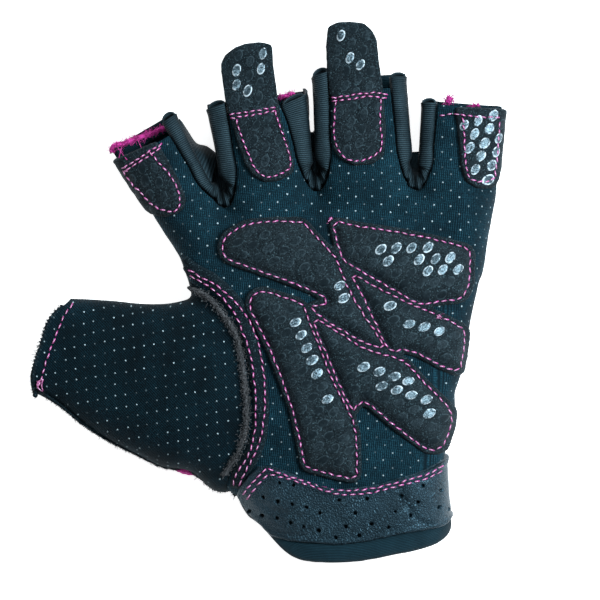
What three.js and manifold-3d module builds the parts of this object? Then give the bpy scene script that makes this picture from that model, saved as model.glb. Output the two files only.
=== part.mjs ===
// Fingerless weightlifting glove for the left hand, lying palm up.
// Millimetres. +X to the little finger's side, +Y to the fingertips, +Z up out of the palm.

import * as THREE from "three";
import { mergeVertices } from "three/addons/utils/BufferGeometryUtils.js";
import Module from "manifold-3d";

const wasm = await Module();
wasm.setup();

// Driving dimensions of the hand part
const palmLength = 110;              // wrist edge to the crotches of the fingers
const palmWidth = 92;                // across the knuckles
const palmHeight = 27;               // thickest place, lying on the flat back
const wristHeight = 24;              // at the wrist opening
const knuckleHeight = 18;            // where the fingers start
const webReach = 13;                 // how far the back of each crotch stands forward of its front

// Driving dimensions of the finger stubs
const fingerRootHeight = 17;
const fingerMouthHeight = 11.5;
const indexFront = 28.5;             // crotch line to the front edge of the mouth
const middleFront = 28.7;
const ringFront = 31;
const littleFront = 27.3;
const indexBack = 34.2;              // crotch line to the back edge and the rolled sides
const middleBack = 31.7;
const ringBack = 35.4;
const littleBack = 28.6;
const rollWidth = 4.6;               // ribbed strip seen beside each finger front

// Driving dimensions of the thumb
const thumbLength = 60;              // base seam to the mouth
const thumbMouthWidth = 31;
const thumbBaseHeight = 25;
const thumbMouthHeight = 13.5;
const thumbTurn = 10.9;              // degrees above straight sideways

// Driving dimensions of the materials and the pieces on the palm
const wall = 1.6;                    // knit with its lining
const seamHeight = 3.4;              // of the seam that joins back and palm
const seamGap = 0.3;                 // between pieces that meet
const overlayThickness = 1.1;        // die-cut suede
const overlayFlange = 1.8;           // suede outside the stitched padded cells
const padThickness = 1.5;            // padding under each cell
const padInset = 0.35;               // padding kept inside its stitch row
const patchThickness = 1.2;          // suede patches on the fingers
const middleTabLength = 19.4;        // pull tabs, past the front edge of the mouth
const ringTabLength = 20.7;
const cuffThickness = 1.3;           // perforated leather
const hemDepth = 6.2;                // wrist binding, along the hand
const hemThickness = 2.4;
const weltThickness = 1.1;
const weltWidth = 7;
const fingerHemDepth = 4;            // pink edging inside the finger mouths
const fingerHemThickness = 1;
const closureWidth = 44;             // plain closure tab on the back
const closureDepth = 17;
const pipingThickness = 0.9;

// Working values that follow from the sizes above
const sectionTopSteps = 11;
const sectionBottomSteps = 3;
const sideShare = 0.42;              // height of the widest place, as a share of a section
const sideTurn = palmHeight * 0.5;   // where the sheets on the palm end on its sides
const backRounding = 1.1;            // of a section's lower corners, as a share of their height
const palmBulge = 2.7;               // fullness of the rounded upper half: 2 is an ellipse
const tubeBulge = 2.3;
const rollStart = rollWidth * 0.55;  // the ribbed strips begin this far behind the crotches
const cutTop = palmHeight * 2;       // upright cutters reach past every piece
const cutBottom = -palmHeight;
const past = palmLength;             // sideways reach of cutters

// Sections of the palm, from the wrist to the fingers.
// along, skew: share of palmLength. left, right: share of palmWidth from the middle line.
// rise: 0 at the wrist's height, 1 at the palm's. drop: share of the way down to the knuckles.
// web: share of webReach.
const palmRows = [
  { along: -0.05, skew: 0, left: -0.242, right: 0.335, rise: 0, drop: 0, web: 0 },
  { along: 0.058, skew: 0, left: -0.275, right: 0.348, rise: 0.05, drop: 0, web: 0 },
  { along: 0.114, skew: 0, left: -0.308, right: 0.351, rise: 0.2, drop: 0, web: 0 },
  { along: 0.197, skew: 0, left: -0.361, right: 0.345, rise: 0.5, drop: 0, web: 0 },
  { along: 0.294, skew: 0, left: -0.408, right: 0.342, rise: 0.85, drop: 0, web: 0 },
  { along: 0.391, skew: 0, left: -0.441, right: 0.362, rise: 1, drop: 0, web: 0 },
  { along: 0.488, skew: 0, left: -0.464, right: 0.38, rise: 1, drop: 0.02, web: 0 },
  { along: 0.585, skew: 0, left: -0.481, right: 0.4, rise: 1, drop: 0.1, web: 0 },
  { along: 0.668, skew: 0, left: -0.496, right: 0.417, rise: 1, drop: 0.24, web: 0 },
  { along: 0.749, skew: 0.01, left: -0.511, right: 0.441, rise: 1, drop: 0.42, web: 0.05 },
  { along: 0.826, skew: 0.03, left: -0.54, right: 0.464, rise: 1, drop: 0.63, web: 0.2 },
  { along: 0.9, skew: 0.06, left: -0.568, right: 0.474, rise: 1, drop: 0.83, web: 0.55 },
  { along: 0.962, skew: 0.1, left: -0.55, right: 0.474, rise: 1, drop: 1, web: 1 },
];

// The four fingers, from the thumb's side.
// root place: share of palmWidth and palmLength. root, mouth: widths as shares of palmWidth.
// lean: degrees to the thumb's side.
const fingers = [
  { name: "index", x: -0.486, y: 0.927, root: 0.214, mouth: 0.255, lean: 30.3,
    front: indexFront, back: indexBack, tab: 0 },
  { name: "middle", x: -0.247, y: 1.002, root: 0.306, mouth: 0.344, lean: 7.9,
    front: middleFront, back: middleBack, tab: middleTabLength },
  { name: "ring", x: 0.07, y: 1.026, root: 0.33, mouth: 0.32, lean: 3.4,
    front: ringFront, back: ringBack, tab: ringTabLength },
  { name: "little", x: 0.366, y: 1.013, root: 0.262, mouth: 0.277, lean: -4.6,
    front: littleFront, back: littleBack, tab: 0 },
];

// Sections of a finger. along: share of its back length, with behind as a share of palmHeight.
const fingerRows = [
  { along: 0, behind: 0.9, narrow: 0.86, rise: 1.02 },
  { along: 0, behind: 0, narrow: 1, rise: 1 },
  { along: 0.3, behind: 0, narrow: 1, rise: 0.52 },
  { along: 0.65, behind: 0, narrow: 1, rise: 0.16 },
  { along: 1, behind: 0, narrow: 1, rise: 0 },
];

// Sections of the thumb. along: share of thumbLength. upper, lower: shares of thumbMouthWidth.
const thumbRows = [
  { along: -0.2, upper: 0.6, lower: 0.83, rise: 0.95 },
  { along: 0.05, upper: 0.78, lower: 1, rise: 1 },
  { along: 0.2, upper: 0.79, lower: 0.96, rise: 0.96 },
  { along: 0.33, upper: 0.75, lower: 0.95, rise: 0.85 },
  { along: 0.46, upper: 0.647, lower: 0.88, rise: 0.66 },
  { along: 0.58, upper: 0.6, lower: 0.82, rise: 0.48 },
  { along: 0.755, upper: 0.569, lower: 0.706, rise: 0.25 },
  { along: 0.9, upper: 0.53, lower: 0.57, rise: 0.08 },
  { along: 1, upper: 0.5, lower: 0.5, rise: 0 },
  { along: 1.25, upper: 0.46, lower: 0.44, rise: -0.05 },
];
const thumbBase = { x: -0.332, y: 0.488 };   // shares of palmWidth and palmLength
const thumbMouthEdge = [
  { across: 0.56, along: 0.94 },
  { across: 0.46, along: 0.97 },
  { across: 0.33, along: 1.025 },
  { across: 0, along: 1.06 },
  { across: -0.4, along: 1.07 },
  { across: -0.6, along: 1.01 },
];

// Base seam of the thumb, from the web to the heel, as shares of palmWidth and palmLength
const thumbSeam = [
  { x: -0.62, y: 0.79 },
  { x: -0.53, y: 0.775 },
  { x: -0.46, y: 0.746 },
  { x: -0.4, y: 0.7 },
  { x: -0.355, y: 0.642 },
  { x: -0.327, y: 0.57 },
  { x: -0.315, y: 0.49 },
  { x: -0.315, y: 0.41 },
  { x: -0.332, y: 0.34 },
  { x: -0.362, y: 0.28 },
  { x: -0.388, y: 0.225 },
  { x: -0.39, y: 0.15 },
];

// The five padded cells of the palm, as shares of palmWidth and palmLength
const padCells = {
  pad_index_centre: [
    [-0.408, 0.871], [-0.391, 0.901], [-0.318, 0.933], [-0.232, 0.938], [-0.139, 0.937],
    [-0.099, 0.897], [-0.036, 0.842], [-0.004, 0.771], [0.027, 0.725], [0.066, 0.67],
    [0.132, 0.589], [0.056, 0.61], [-0.007, 0.64], [-0.063, 0.669], [-0.119, 0.707],
    [-0.053, 0.71], [-0.056, 0.729], [-0.116, 0.754], [-0.222, 0.789], [-0.334, 0.821],
    [-0.395, 0.84],
  ],
  pad_little_upper: [
    [-0.04, 0.94], [0.053, 0.923], [0.176, 0.908], [0.295, 0.888], [0.411, 0.864],
    [0.407, 0.765], [0.385, 0.729], [0.275, 0.719], [0.252, 0.71], [0.146, 0.76],
    [0.07, 0.797], [-0.004, 0.835], [-0.022, 0.877],
  ],
  pad_little_middle: [
    [0.016, 0.797], [0.129, 0.744], [0.235, 0.701], [0.305, 0.679], [0.391, 0.643],
    [0.391, 0.599], [0.375, 0.525], [0.318, 0.543], [0.242, 0.579], [0.182, 0.592],
    [0.153, 0.579], [0.133, 0.604], [0.074, 0.71], [0.033, 0.776],
  ],
  pad_heel_little: [
    [-0.106, 0.676], [-0.046, 0.644], [0.059, 0.588], [0.146, 0.566], [0.189, 0.557],
    [0.269, 0.485], [0.348, 0.419], [0.348, 0.38], [0.315, 0.313], [0.272, 0.312],
    [0.162, 0.381], [0.075, 0.444], [0.038, 0.449], [0.029, 0.413], [-0.011, 0.48],
    [-0.083, 0.618],
  ],
  pad_heel_thumb: [
    [-0.143, 0.713], [-0.109, 0.639], [-0.044, 0.501], [0.017, 0.405], [0.033, 0.355],
    [0.036, 0.233], [-0.038, 0.245], [-0.133, 0.266], [-0.136, 0.294], [-0.169, 0.421],
    [-0.206, 0.505], [-0.244, 0.588], [-0.315, 0.705], [-0.308, 0.735], [-0.275, 0.749],
    [-0.216, 0.733],
  ],
};
const padCorner = 2.2;               // rounding of the cells' corners
const overlayCorner = 1.2;

// Suede patches on the fingers. across: share of the mouth's width. along: share of the front.
const patchOutlines = {
  index: [
    [-0.62, 1], [-0.6, 0.6], [-0.45, 0.4], [-0.36, 0.3], [-0.23, 0.24], [-0.065, 0.235],
    [0.045, 0.33], [0.082, 0.55], [0.07, 0.94], [0.066, 1],
  ],
  middle: [
    [-0.29, 1], [-0.255, 0.82], [-0.195, 0.41], [-0.135, 0.27], [-0.04, 0.18], [0.105, 0.185],
    [0.25, 0.245], [0.268, 0.33], [0.242, 0.58], [0.196, 0.8], [0.2, 1],
  ],
  ring: [
    [-0.3, 1], [-0.312, 0.62], [-0.308, 0.42], [-0.247, 0.33], [-0.113, 0.25], [0.08, 0.255],
    [0.206, 0.33], [0.24, 0.585], [0.237, 0.81], [0.23, 1],
  ],
  little: [
    [-0.08, 1], [-0.068, 0.85], [-0.007, 0.565], [0.035, 0.31], [0.1, 0.16], [0.238, 0.09],
    [0.416, 0.115], [0.62, 0.2], [0.64, 1],
  ],
};
const patchCorner = 1.5;

// Pull tabs past the mouth. across: share of the mouth's width. out: share of the tab's length.
const tabOutlines = {
  middle: [
    [0.203, 0.6], [0.215, 0.93], [0.115, 0.99], [-0.035, 1], [-0.14, 0.965], [-0.24, 0.88],
    [-0.295, 0.6], [-0.3, 0.1],
  ],
  ring: [
    [0.21, 0.4], [0.203, 0.72], [0.158, 0.86], [0.08, 0.975], [-0.06, 1], [-0.174, 1],
    [-0.312, 0.93], [-0.318, 0.66], [-0.322, 0.3],
  ],
};

// Wrist edge seen from above, from the thumb's side, as shares of palmWidth and palmLength.
// The groove above the binding runs a binding's depth further in.
const wristEdge = [
  { x: -0.42, y: 0.14 },
  { x: -0.275, y: 0.094 },
  { x: -0.252, y: 0.072 },
  { x: -0.196, y: 0.022 },
  { x: -0.151, y: 0.0055 },
  { x: -0.086, y: 0 },
  { x: 0.046, y: 0.003 },
  { x: 0.152, y: 0.019 },
  { x: 0.282, y: 0.042 },
  { x: 0.325, y: 0.057 },
  { x: 0.36, y: 0.09 },
  { x: 0.45, y: 0.11 },
];

// Upper edge of the leather cuff, from its lower corner on the thumb's side
const cuffEdge = [
  { x: -0.4, y: 0.12 },
  { x: -0.37, y: 0.158 },
  { x: -0.358, y: 0.198 },
  { x: -0.325, y: 0.236 },
  { x: -0.288, y: 0.265 },
  { x: -0.255, y: 0.267 },
  { x: -0.182, y: 0.249 },
  { x: -0.083, y: 0.213 },
  { x: 0.019, y: 0.207 },
  { x: 0.1, y: 0.216 },
  { x: 0.179, y: 0.236 },
  { x: 0.259, y: 0.256 },
  { x: 0.338, y: 0.287 },
  { x: 0.5, y: 0.34 },
];

// Places on the hand
const place = (x, y) => new THREE.Vector2(x * palmWidth, y * palmLength);

const fingerHalf = (finger, along) => {
  const share = Math.min(Math.max(along / finger.back, 0), 1);
  return 0.5 * palmWidth * THREE.MathUtils.lerp(finger.root, finger.mouth, share);
};

// A point in a finger's own frame: across to the little finger's side, along to its mouth
function onFinger(finger, across, along) {
  const turn = THREE.MathUtils.degToRad(finger.lean);
  const forward = new THREE.Vector2(-Math.sin(turn), Math.cos(turn));
  const sideways = new THREE.Vector2(Math.cos(turn), Math.sin(turn));
  return place(finger.x, finger.y)
    .addScaledVector(forward, along)
    .addScaledVector(sideways, across);
}

// A point in the thumb's own frame: across to the index finger's side, along to its mouth
function onThumb(across, along) {
  const turn = THREE.MathUtils.degToRad(thumbTurn);
  const forward = new THREE.Vector2(-Math.cos(turn), Math.sin(turn));
  const sideways = new THREE.Vector2(Math.sin(turn), Math.cos(turn));
  return place(thumbBase.x, thumbBase.y)
    .addScaledVector(forward, along)
    .addScaledVector(sideways, across);
}

// Solids
function toSolid(geometry) {
  geometry.deleteAttribute("normal");
  geometry.deleteAttribute("uv");
  const merged = mergeVertices(geometry, 1e-5);
  const solid = new wasm.Manifold(new wasm.Mesh({
    numProp: 3,
    vertProperties: new Float32Array(merged.getAttribute("position").array),
    triVerts: new Uint32Array(merged.index.array),
  }));
  return solid;
}

// One flat-backed ring of points between two edges, grown outward by a distance
function sectionRing(row, grow, bulge) {
  const across = row.right.clone().sub(row.left).normalize();
  const middle = row.left.clone().add(row.right).multiplyScalar(0.5);
  const forward = new THREE.Vector2(-across.y, across.x);
  const half = 0.5 * row.left.distanceTo(row.right) + grow;
  const top = row.height + grow;
  const bottom = -grow;
  const side = row.height * sideShare;
  const round = (side - bottom) * backRounding;
  const ring = [];
  const put = (x, z) => {
    const shift = row.web * THREE.MathUtils.clamp(1 - z / row.height, 0, 1);
    const plan = middle.clone().addScaledVector(across, x).addScaledVector(forward, shift);
    ring.push(new THREE.Vector3(plan.x, plan.y, z));
  };
  for (let i = 0; i <= sectionTopSteps; i += 1) {
    const turn = Math.PI * i / sectionTopSteps;
    const x = Math.sign(Math.cos(turn)) * Math.abs(Math.cos(turn)) ** (2 / bulge);
    const z = Math.sin(turn) ** (2 / bulge);
    put(half * x, side + (top - side) * z);
  }
  for (let i = 1; i <= sectionBottomSteps; i += 1) {
    const turn = 0.5 * Math.PI * i / sectionBottomSteps;
    put(-half + round * (1 - Math.cos(turn)), side - (side - bottom) * Math.sin(turn));
  }
  for (let i = sectionBottomSteps; i >= 1; i -= 1) {
    const turn = 0.5 * Math.PI * i / sectionBottomSteps;
    put(half - round * (1 - Math.cos(turn)), side - (side - bottom) * Math.sin(turn));
  }
  return ring;
}

// A closed solid through rings of equal count
function loft(rings) {
  const count = rings[0].length;
  const points = rings.flat();
  const faces = [];
  for (let r = 0; r + 1 < rings.length; r += 1) {
    for (let i = 0; i < count; i += 1) {
      const a = r * count + i;
      const b = r * count + (i + 1) % count;
      faces.push(a, b, b + count, a, b + count, a + count);
    }
  }
  const last = points.length - count;
  for (let i = 1; i + 1 < count; i += 1) {
    faces.push(0, i + 1, i);
    faces.push(last, last + i, last + i + 1);
  }
  let volume = 0;
  for (let f = 0; f < faces.length; f += 3) {
    const [a, b, c] = [points[faces[f]], points[faces[f + 1]], points[faces[f + 2]]];
    volume += a.dot(b.clone().cross(c));
  }
  if (volume < 0) {
    faces.reverse();
  }
  const geometry = new THREE.BufferGeometry().setFromPoints(points);
  geometry.setIndex(faces);
  return toSolid(geometry);
}

function palmBody(grow) {
  const rings = palmRows.map((row, index) => {
    const grown = index === palmRows.length - 1 ? grow : 0;
    const wristToPalm = THREE.MathUtils.lerp(wristHeight, palmHeight, row.rise);
    return sectionRing({
      left: place(row.left, row.along - row.skew / 2).add(new THREE.Vector2(0, grown)),
      right: place(row.right, row.along + row.skew / 2).add(new THREE.Vector2(0, grown)),
      height: THREE.MathUtils.lerp(wristToPalm, knuckleHeight, row.drop),
      web: row.web * webReach,
    }, grow, palmBulge);
  });
  return loft(rings);
}

function fingerBody(finger, grow) {
  const rows = fingerRows.map((row) => ({
    along: finger.back * row.along - palmHeight * row.behind,
    narrow: row.narrow,
    rise: row.rise,
  }));
  rows.push({ along: finger.back + finger.tab + hemDepth, narrow: 1, rise: 0 });
  const rings = rows.map((row) => {
    const half = fingerHalf(finger, row.along) * row.narrow;
    return sectionRing({
      left: onFinger(finger, -half, row.along),
      right: onFinger(finger, half, row.along),
      height: THREE.MathUtils.lerp(fingerMouthHeight, fingerRootHeight, row.rise),
      web: 0,
    }, grow, tubeBulge);
  });
  return loft(rings);
}

function thumbBody(grow) {
  const rings = thumbRows.map((row) => sectionRing({
    left: onThumb(-row.lower * thumbMouthWidth, row.along * thumbLength),
    right: onThumb(row.upper * thumbMouthWidth, row.along * thumbLength),
    height: THREE.MathUtils.lerp(thumbMouthHeight, thumbBaseHeight, row.rise),
    web: 0,
  }, grow, tubeBulge));
  return loft(rings);
}

// The whole glove's form, grown outward or shrunk by a distance
const bodies = new Map();

function body(grow) {
  if (!bodies.has(grow)) {
    let whole = palmBody(grow).add(thumbBody(grow));
    for (const finger of fingers) {
      whole = whole.add(fingerBody(finger, grow));
    }
    bodies.set(grow, whole);
  }
  return bodies.get(grow);
}

// An upright prism over an outline seen from above
function prism(outline, bottom = cutBottom, top = cutTop) {
  const shape = new THREE.Shape(outline);
  const geometry = new THREE.ExtrudeGeometry(shape, { depth: top - bottom, bevelEnabled: false });
  geometry.translate(0, 0, bottom);
  return toSolid(geometry);
}

// An outline with each corner rounded off
function rounded(outline, radius) {
  const points = [];
  outline.forEach((corner, index) => {
    const before = outline[(index + outline.length - 1) % outline.length];
    const after = outline[(index + 1) % outline.length];
    const reachBefore = Math.min(radius, 0.4 * corner.distanceTo(before));
    const reachAfter = Math.min(radius, 0.4 * corner.distanceTo(after));
    const start = corner.clone().lerp(before, reachBefore / corner.distanceTo(before));
    const end = corner.clone().lerp(after, reachAfter / corner.distanceTo(after));
    const curve = new THREE.QuadraticBezierCurve(start, corner, end);
    points.push(...curve.getPoints(2));
  });
  return points;
}

// An outline moved outward, or inward where the distance is negative
function grown(outline, distance) {
  const turnsLeft = THREE.ShapeUtils.area(outline) > 0;
  return outline.map((corner, index) => {
    const before = outline[(index + outline.length - 1) % outline.length];
    const after = outline[(index + 1) % outline.length];
    const into = corner.clone().sub(before).normalize();
    const out = after.clone().sub(corner).normalize();
    const normal = new THREE.Vector2(into.y + out.y, -into.x - out.x).normalize();
    const miter = Math.max(normal.dot(new THREE.Vector2(into.y, -into.x)), 0.5);
    const reach = (turnsLeft ? 1 : -1) * distance / miter;
    return corner.clone().addScaledVector(normal, reach);
  });
}

// A smooth line through a few places
function smoothLine(rows, steps) {
  const curve = new THREE.SplineCurve(rows.map((row) => place(row.x, row.y)));
  return curve.getPoints(steps);
}

// Everything between two heights
const slab = (bottom, top) => prism([
  new THREE.Vector2(-3 * past, -3 * past),
  new THREE.Vector2(3 * past, -3 * past),
  new THREE.Vector2(3 * past, 3 * past),
  new THREE.Vector2(-3 * past, 3 * past),
], bottom, top);

const abovePalmSeam = slab(seamHeight + seamGap / 2, cutTop);
const belowPalmSeam = slab(cutBottom, seamHeight - seamGap / 2);
const aboveTable = slab(0, cutTop);

// Cutters for the finger mouths, each as wide as its finger
function mouthCut(finger, along) {
  const half = fingerHalf(finger, finger.back) + seamGap;
  const reach = along + finger.back + finger.tab;
  return prism([
    onFinger(finger, -half, along),
    onFinger(finger, half, along),
    onFinger(finger, half, reach),
    onFinger(finger, -half, reach),
  ]);
}

function withoutMouths(solid, side) {
  return fingers.reduce((left, finger) => left.subtract(mouthCut(finger, finger[side])), solid);
}

// The thumb's own stretch of the hand, past its base seam
const seamLine = smoothLine(thumbSeam, 18);

function thumbSide(shift) {
  const line = seamLine.map((point, index) => {
    const before = seamLine[Math.max(index - 1, 0)];
    const after = seamLine[Math.min(index + 1, seamLine.length - 1)];
    const along = after.clone().sub(before).normalize();
    return point.clone().add(new THREE.Vector2(-along.y, along.x).multiplyScalar(shift));
  });
  return line;
}

function thumbRegion(shift) {
  const line = thumbSide(shift);
  return prism([
    ...line,
    new THREE.Vector2(line[line.length - 1].x, -past),
    new THREE.Vector2(-3 * past, -past),
    new THREE.Vector2(-3 * past, line[0].y),
  ]);
}

const thumbMouth = prism([
  ...thumbMouthEdge.map((row) => onThumb(row.across * thumbMouthWidth, row.along * thumbLength)),
  onThumb(-thumbMouthWidth, 2 * thumbLength),
  onThumb(thumbMouthWidth, 2 * thumbLength),
]);

// The felt strip along the seam, mostly on the palm's side of it
function weltRegion(slack) {
  const palmEdge = thumbSide(weltWidth * 0.75 + slack);
  const thumbEdge = thumbSide(-weltWidth * 0.25 - slack);
  return prism([...palmEdge, ...thumbEdge.reverse()]);
}

// The ribbed strip between two neighbouring fingers, seen from above
function fourchetteRegion(nearer, further, slack) {
  const inset = rollWidth + slack;
  const start = -rollStart - slack;
  const edge = (finger, side, along) => {
    const half = fingerHalf(finger, along) - inset;
    return onFinger(finger, side * half, along);
  };
  return prism([
    edge(nearer, 1, nearer.back + hemDepth),
    edge(nearer, 1, rollWidth),
    edge(nearer, 1, start).lerp(edge(further, -1, start), 0.12),
    edge(nearer, 1, start).lerp(edge(further, -1, start), 0.5).add(new THREE.Vector2(0, start / 3)),
    edge(nearer, 1, start).lerp(edge(further, -1, start), 0.88),
    edge(further, -1, rollWidth),
    edge(further, -1, further.back + hemDepth),
  ]);
}

const fingerPairs = [[0, 1], [1, 2], [2, 3]].map(([a, b]) => [fingers[a], fingers[b]]);

// Wrist outlines: the open edge, and the groove above the binding
const wristLine = smoothLine(wristEdge, 22);

function wristRegion(shift) {
  const line = wristLine.map((point) => point.clone().add(new THREE.Vector2(0, shift)));
  return prism([
    ...line,
    new THREE.Vector2(3 * past, line[line.length - 1].y),
    new THREE.Vector2(3 * past, 3 * past),
    new THREE.Vector2(-3 * past, 3 * past),
    new THREE.Vector2(-3 * past, line[0].y),
  ]);
}

// A sheet that lies on the palm side, over the pieces below it, down to a height on its sides
function sheetOnPalm(region, from, thickness, lowest = seamHeight) {
  const layer = body(from + thickness).subtract(body(from));
  return layer.intersect(region).intersect(slab(lowest + seamGap, cutTop));
}

const shell = body(0).subtract(body(-wall));

function palmPanel() {
  let panel = shell.intersect(abovePalmSeam).intersect(wristRegion(hemDepth + seamGap));
  panel = panel.subtract(thumbRegion(seamGap));
  for (const [nearer, further] of fingerPairs) {
    panel = panel.subtract(fourchetteRegion(nearer, further, seamGap));
  }
  return withoutMouths(panel, "front");
}

// Plain closure tab, let into the flat back of the wrist
const closureCentre = place(-0.02, 0.22);

function closureOutline(slack) {
  const x = closureWidth / 2 + slack;
  const y = closureDepth / 2 + slack;
  return rounded([
    closureCentre.clone().add(new THREE.Vector2(-x, -y)),
    closureCentre.clone().add(new THREE.Vector2(x, -y)),
    closureCentre.clone().add(new THREE.Vector2(x, y)),
    closureCentre.clone().add(new THREE.Vector2(-x, y)),
  ], closureDepth / 4);
}

function backPanel() {
  let panel = shell.intersect(belowPalmSeam).intersect(wristRegion(hemDepth + seamGap));
  panel = panel.subtract(thumbRegion(seamGap)).subtract(prism(closureOutline(seamGap)));
  return withoutMouths(panel, "back");
}

const closureTab = () => prism(closureOutline(0), 0, wall);

const thumbSleeve = () => shell.intersect(thumbRegion(0)).subtract(thumbMouth);

function fourchette(nearer, further) {
  const strip = shell.intersect(abovePalmSeam).intersect(fourchetteRegion(nearer, further, 0));
  return withoutMouths(strip, "back");
}

function thumbWelt() {
  const region = weltRegion(0).subtract(overlayRegion(seamGap));
  const sheet = sheetOnPalm(region, seamGap, weltThickness, sideTurn);
  return sheet.intersect(wristRegion(hemDepth + seamGap));
}

function fingerPatch(finger) {
  const width = palmWidth * finger.mouth;
  const patch = patchOutlines[finger.name].map(([across, along]) => (
    onFinger(finger, across * width, along * finger.front)));
  const tab = (tabOutlines[finger.name] ?? []).map(([across, out]) => (
    onFinger(finger, across * width, finger.front + out * finger.tab)));
  const outline = rounded([...patch, ...tab], patchCorner);
  return sheetOnPalm(prism(outline), seamGap, patchThickness);
}

const cellOutline = (name) => padCells[name].map(([x, y]) => place(x, y));

// The die-cut suede's outline: each cell with a flange all round
function overlayRegion(slack) {
  const cells = Object.keys(padCells).map((name) => (
    prism(rounded(grown(cellOutline(name), overlayFlange + slack), overlayCorner))));
  return cells.reduce((all, cell) => all.add(cell));
}

const palmOverlay = () => sheetOnPalm(overlayRegion(0), seamGap, overlayThickness, sideTurn);

function pad(name) {
  const region = prism(rounded(grown(cellOutline(name), -padInset), padCorner));
  return sheetOnPalm(region, 2 * seamGap + overlayThickness, padThickness, sideTurn);
}

function cuff() {
  const line = smoothLine(cuffEdge, 26);
  const region = prism([
    ...line,
    new THREE.Vector2(past, -past),
    new THREE.Vector2(line[0].x, -past),
  ]);
  const sheet = sheetOnPalm(region, seamGap, cuffThickness);
  return sheet.intersect(wristRegion(hemDepth + seamGap)).subtract(weltRegion(seamGap));
}

function wristHem() {
  const outer = hemThickness - wall;
  const ring = body(outer).subtract(body(-wall)).intersect(aboveTable);
  return ring.intersect(wristRegion(0)).subtract(wristRegion(hemDepth));
}

function fingerHem(finger) {
  const from = -wall - seamGap;
  const width = 2 * fingerHalf(finger, finger.back);
  const stretch = prism([
    onFinger(finger, -width, finger.back - fingerHemDepth),
    onFinger(finger, width, finger.back - fingerHemDepth),
    onFinger(finger, width, finger.back - seamGap),
    onFinger(finger, -width, finger.back - seamGap),
  ], 0, fingerMouthHeight * sideShare);
  const tube = fingerBody(finger, from).subtract(fingerBody(finger, from - fingerHemThickness));
  return tube.intersect(stretch);
}

function thumbPiping() {
  const stretch = [[0.1, 0.8], [0.4, 0.8], [0.4, 1.3], [0.1, 1.3]].map(([along, across]) => (
    onThumb(-across * thumbMouthWidth, along * thumbLength)));
  const layer = body(seamGap + pipingThickness).subtract(body(seamGap));
  const band = slab(seamHeight, seamHeight + fingerHemDepth);
  return layer.intersect(prism(stretch)).intersect(band);
}

// Meshes
const materials = {
  knit: { color: 0x1c3540, roughness: 0.92, metalness: 0 },
  thumbKnit: { color: 0x152b35, roughness: 0.92, metalness: 0 },
  back: { color: 0x1b3039, roughness: 0.95, metalness: 0 },
  rib: { color: 0x2a3e48, roughness: 0.85, metalness: 0 },
  suede: { color: 0x2a363e, roughness: 0.9, metalness: 0 },
  pad: { color: 0x303c45, roughness: 0.8, metalness: 0 },
  leather: { color: 0x37474f, roughness: 0.5, metalness: 0 },
  binding: { color: 0x203743, roughness: 0.9, metalness: 0 },
  felt: { color: 0x49525a, roughness: 1, metalness: 0 },
  pink: { color: 0xc8378f, roughness: 0.9, metalness: 0 },
};

// The largest piece of a cut solid, without slivers
function mainPiece(solid) {
  return solid.decompose().reduce((best, piece) => (piece.volume() > best.volume() ? piece : best));
}

function toMesh(name, solid, materialName) {
  const cut = mainPiece(solid).getMesh();
  const geometry = new THREE.BufferGeometry();
  geometry.setAttribute("position", new THREE.BufferAttribute(cut.vertProperties, 3));
  geometry.setIndex(new THREE.BufferAttribute(cut.triVerts, 1));
  geometry.computeVertexNormals();
  const mesh = new THREE.Mesh(geometry, new THREE.MeshStandardMaterial(materials[materialName]));
  mesh.name = name;
  return mesh;
}

const glove = new THREE.Group();
glove.add(toMesh("palm_panel", palmPanel(), "knit"));
glove.add(toMesh("back_panel", backPanel(), "back"));
glove.add(toMesh("thumb_sleeve", thumbSleeve(), "thumbKnit"));
glove.add(toMesh("thumb_seam_welt", thumbWelt(), "felt"));
for (const [nearer, further] of fingerPairs) {
  const name = `fourchette_${nearer.name}_${further.name}`;
  glove.add(toMesh(name, fourchette(nearer, further), "rib"));
}
for (const finger of fingers) {
  const name = finger.tab > 0 ? `pull_tab_${finger.name}` : `finger_patch_${finger.name}`;
  glove.add(toMesh(name, fingerPatch(finger), "suede"));
  glove.add(toMesh(`finger_hem_${finger.name}`, fingerHem(finger), "pink"));
}
glove.add(toMesh("palm_overlay", palmOverlay(), "suede"));
for (const name of Object.keys(padCells)) {
  glove.add(toMesh(name, pad(name), "pad"));
}
glove.add(toMesh("wrist_cuff", cuff(), "leather"));
glove.add(toMesh("wrist_hem", wristHem(), "binding"));
glove.add(toMesh("wrist_closure_tab", closureTab(), "binding"));
glove.add(toMesh("thumb_base_piping", thumbPiping(), "pink"));

// The origin is under the middle of the glove, on the surface that it lies on
const box = new THREE.Box3().setFromObject(glove);
const centre = box.getCenter(new THREE.Vector3());
glove.position.set(-centre.x, -centre.y, -box.min.z);
glove.updateMatrixWorld(true);

export default glove;
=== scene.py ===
import math
import random

import bpy
import numpy as np
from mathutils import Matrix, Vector, noise
from mathutils.bvhtree import BVHTree
from mathutils.geometry import delaunay_2d_cdt


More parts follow.
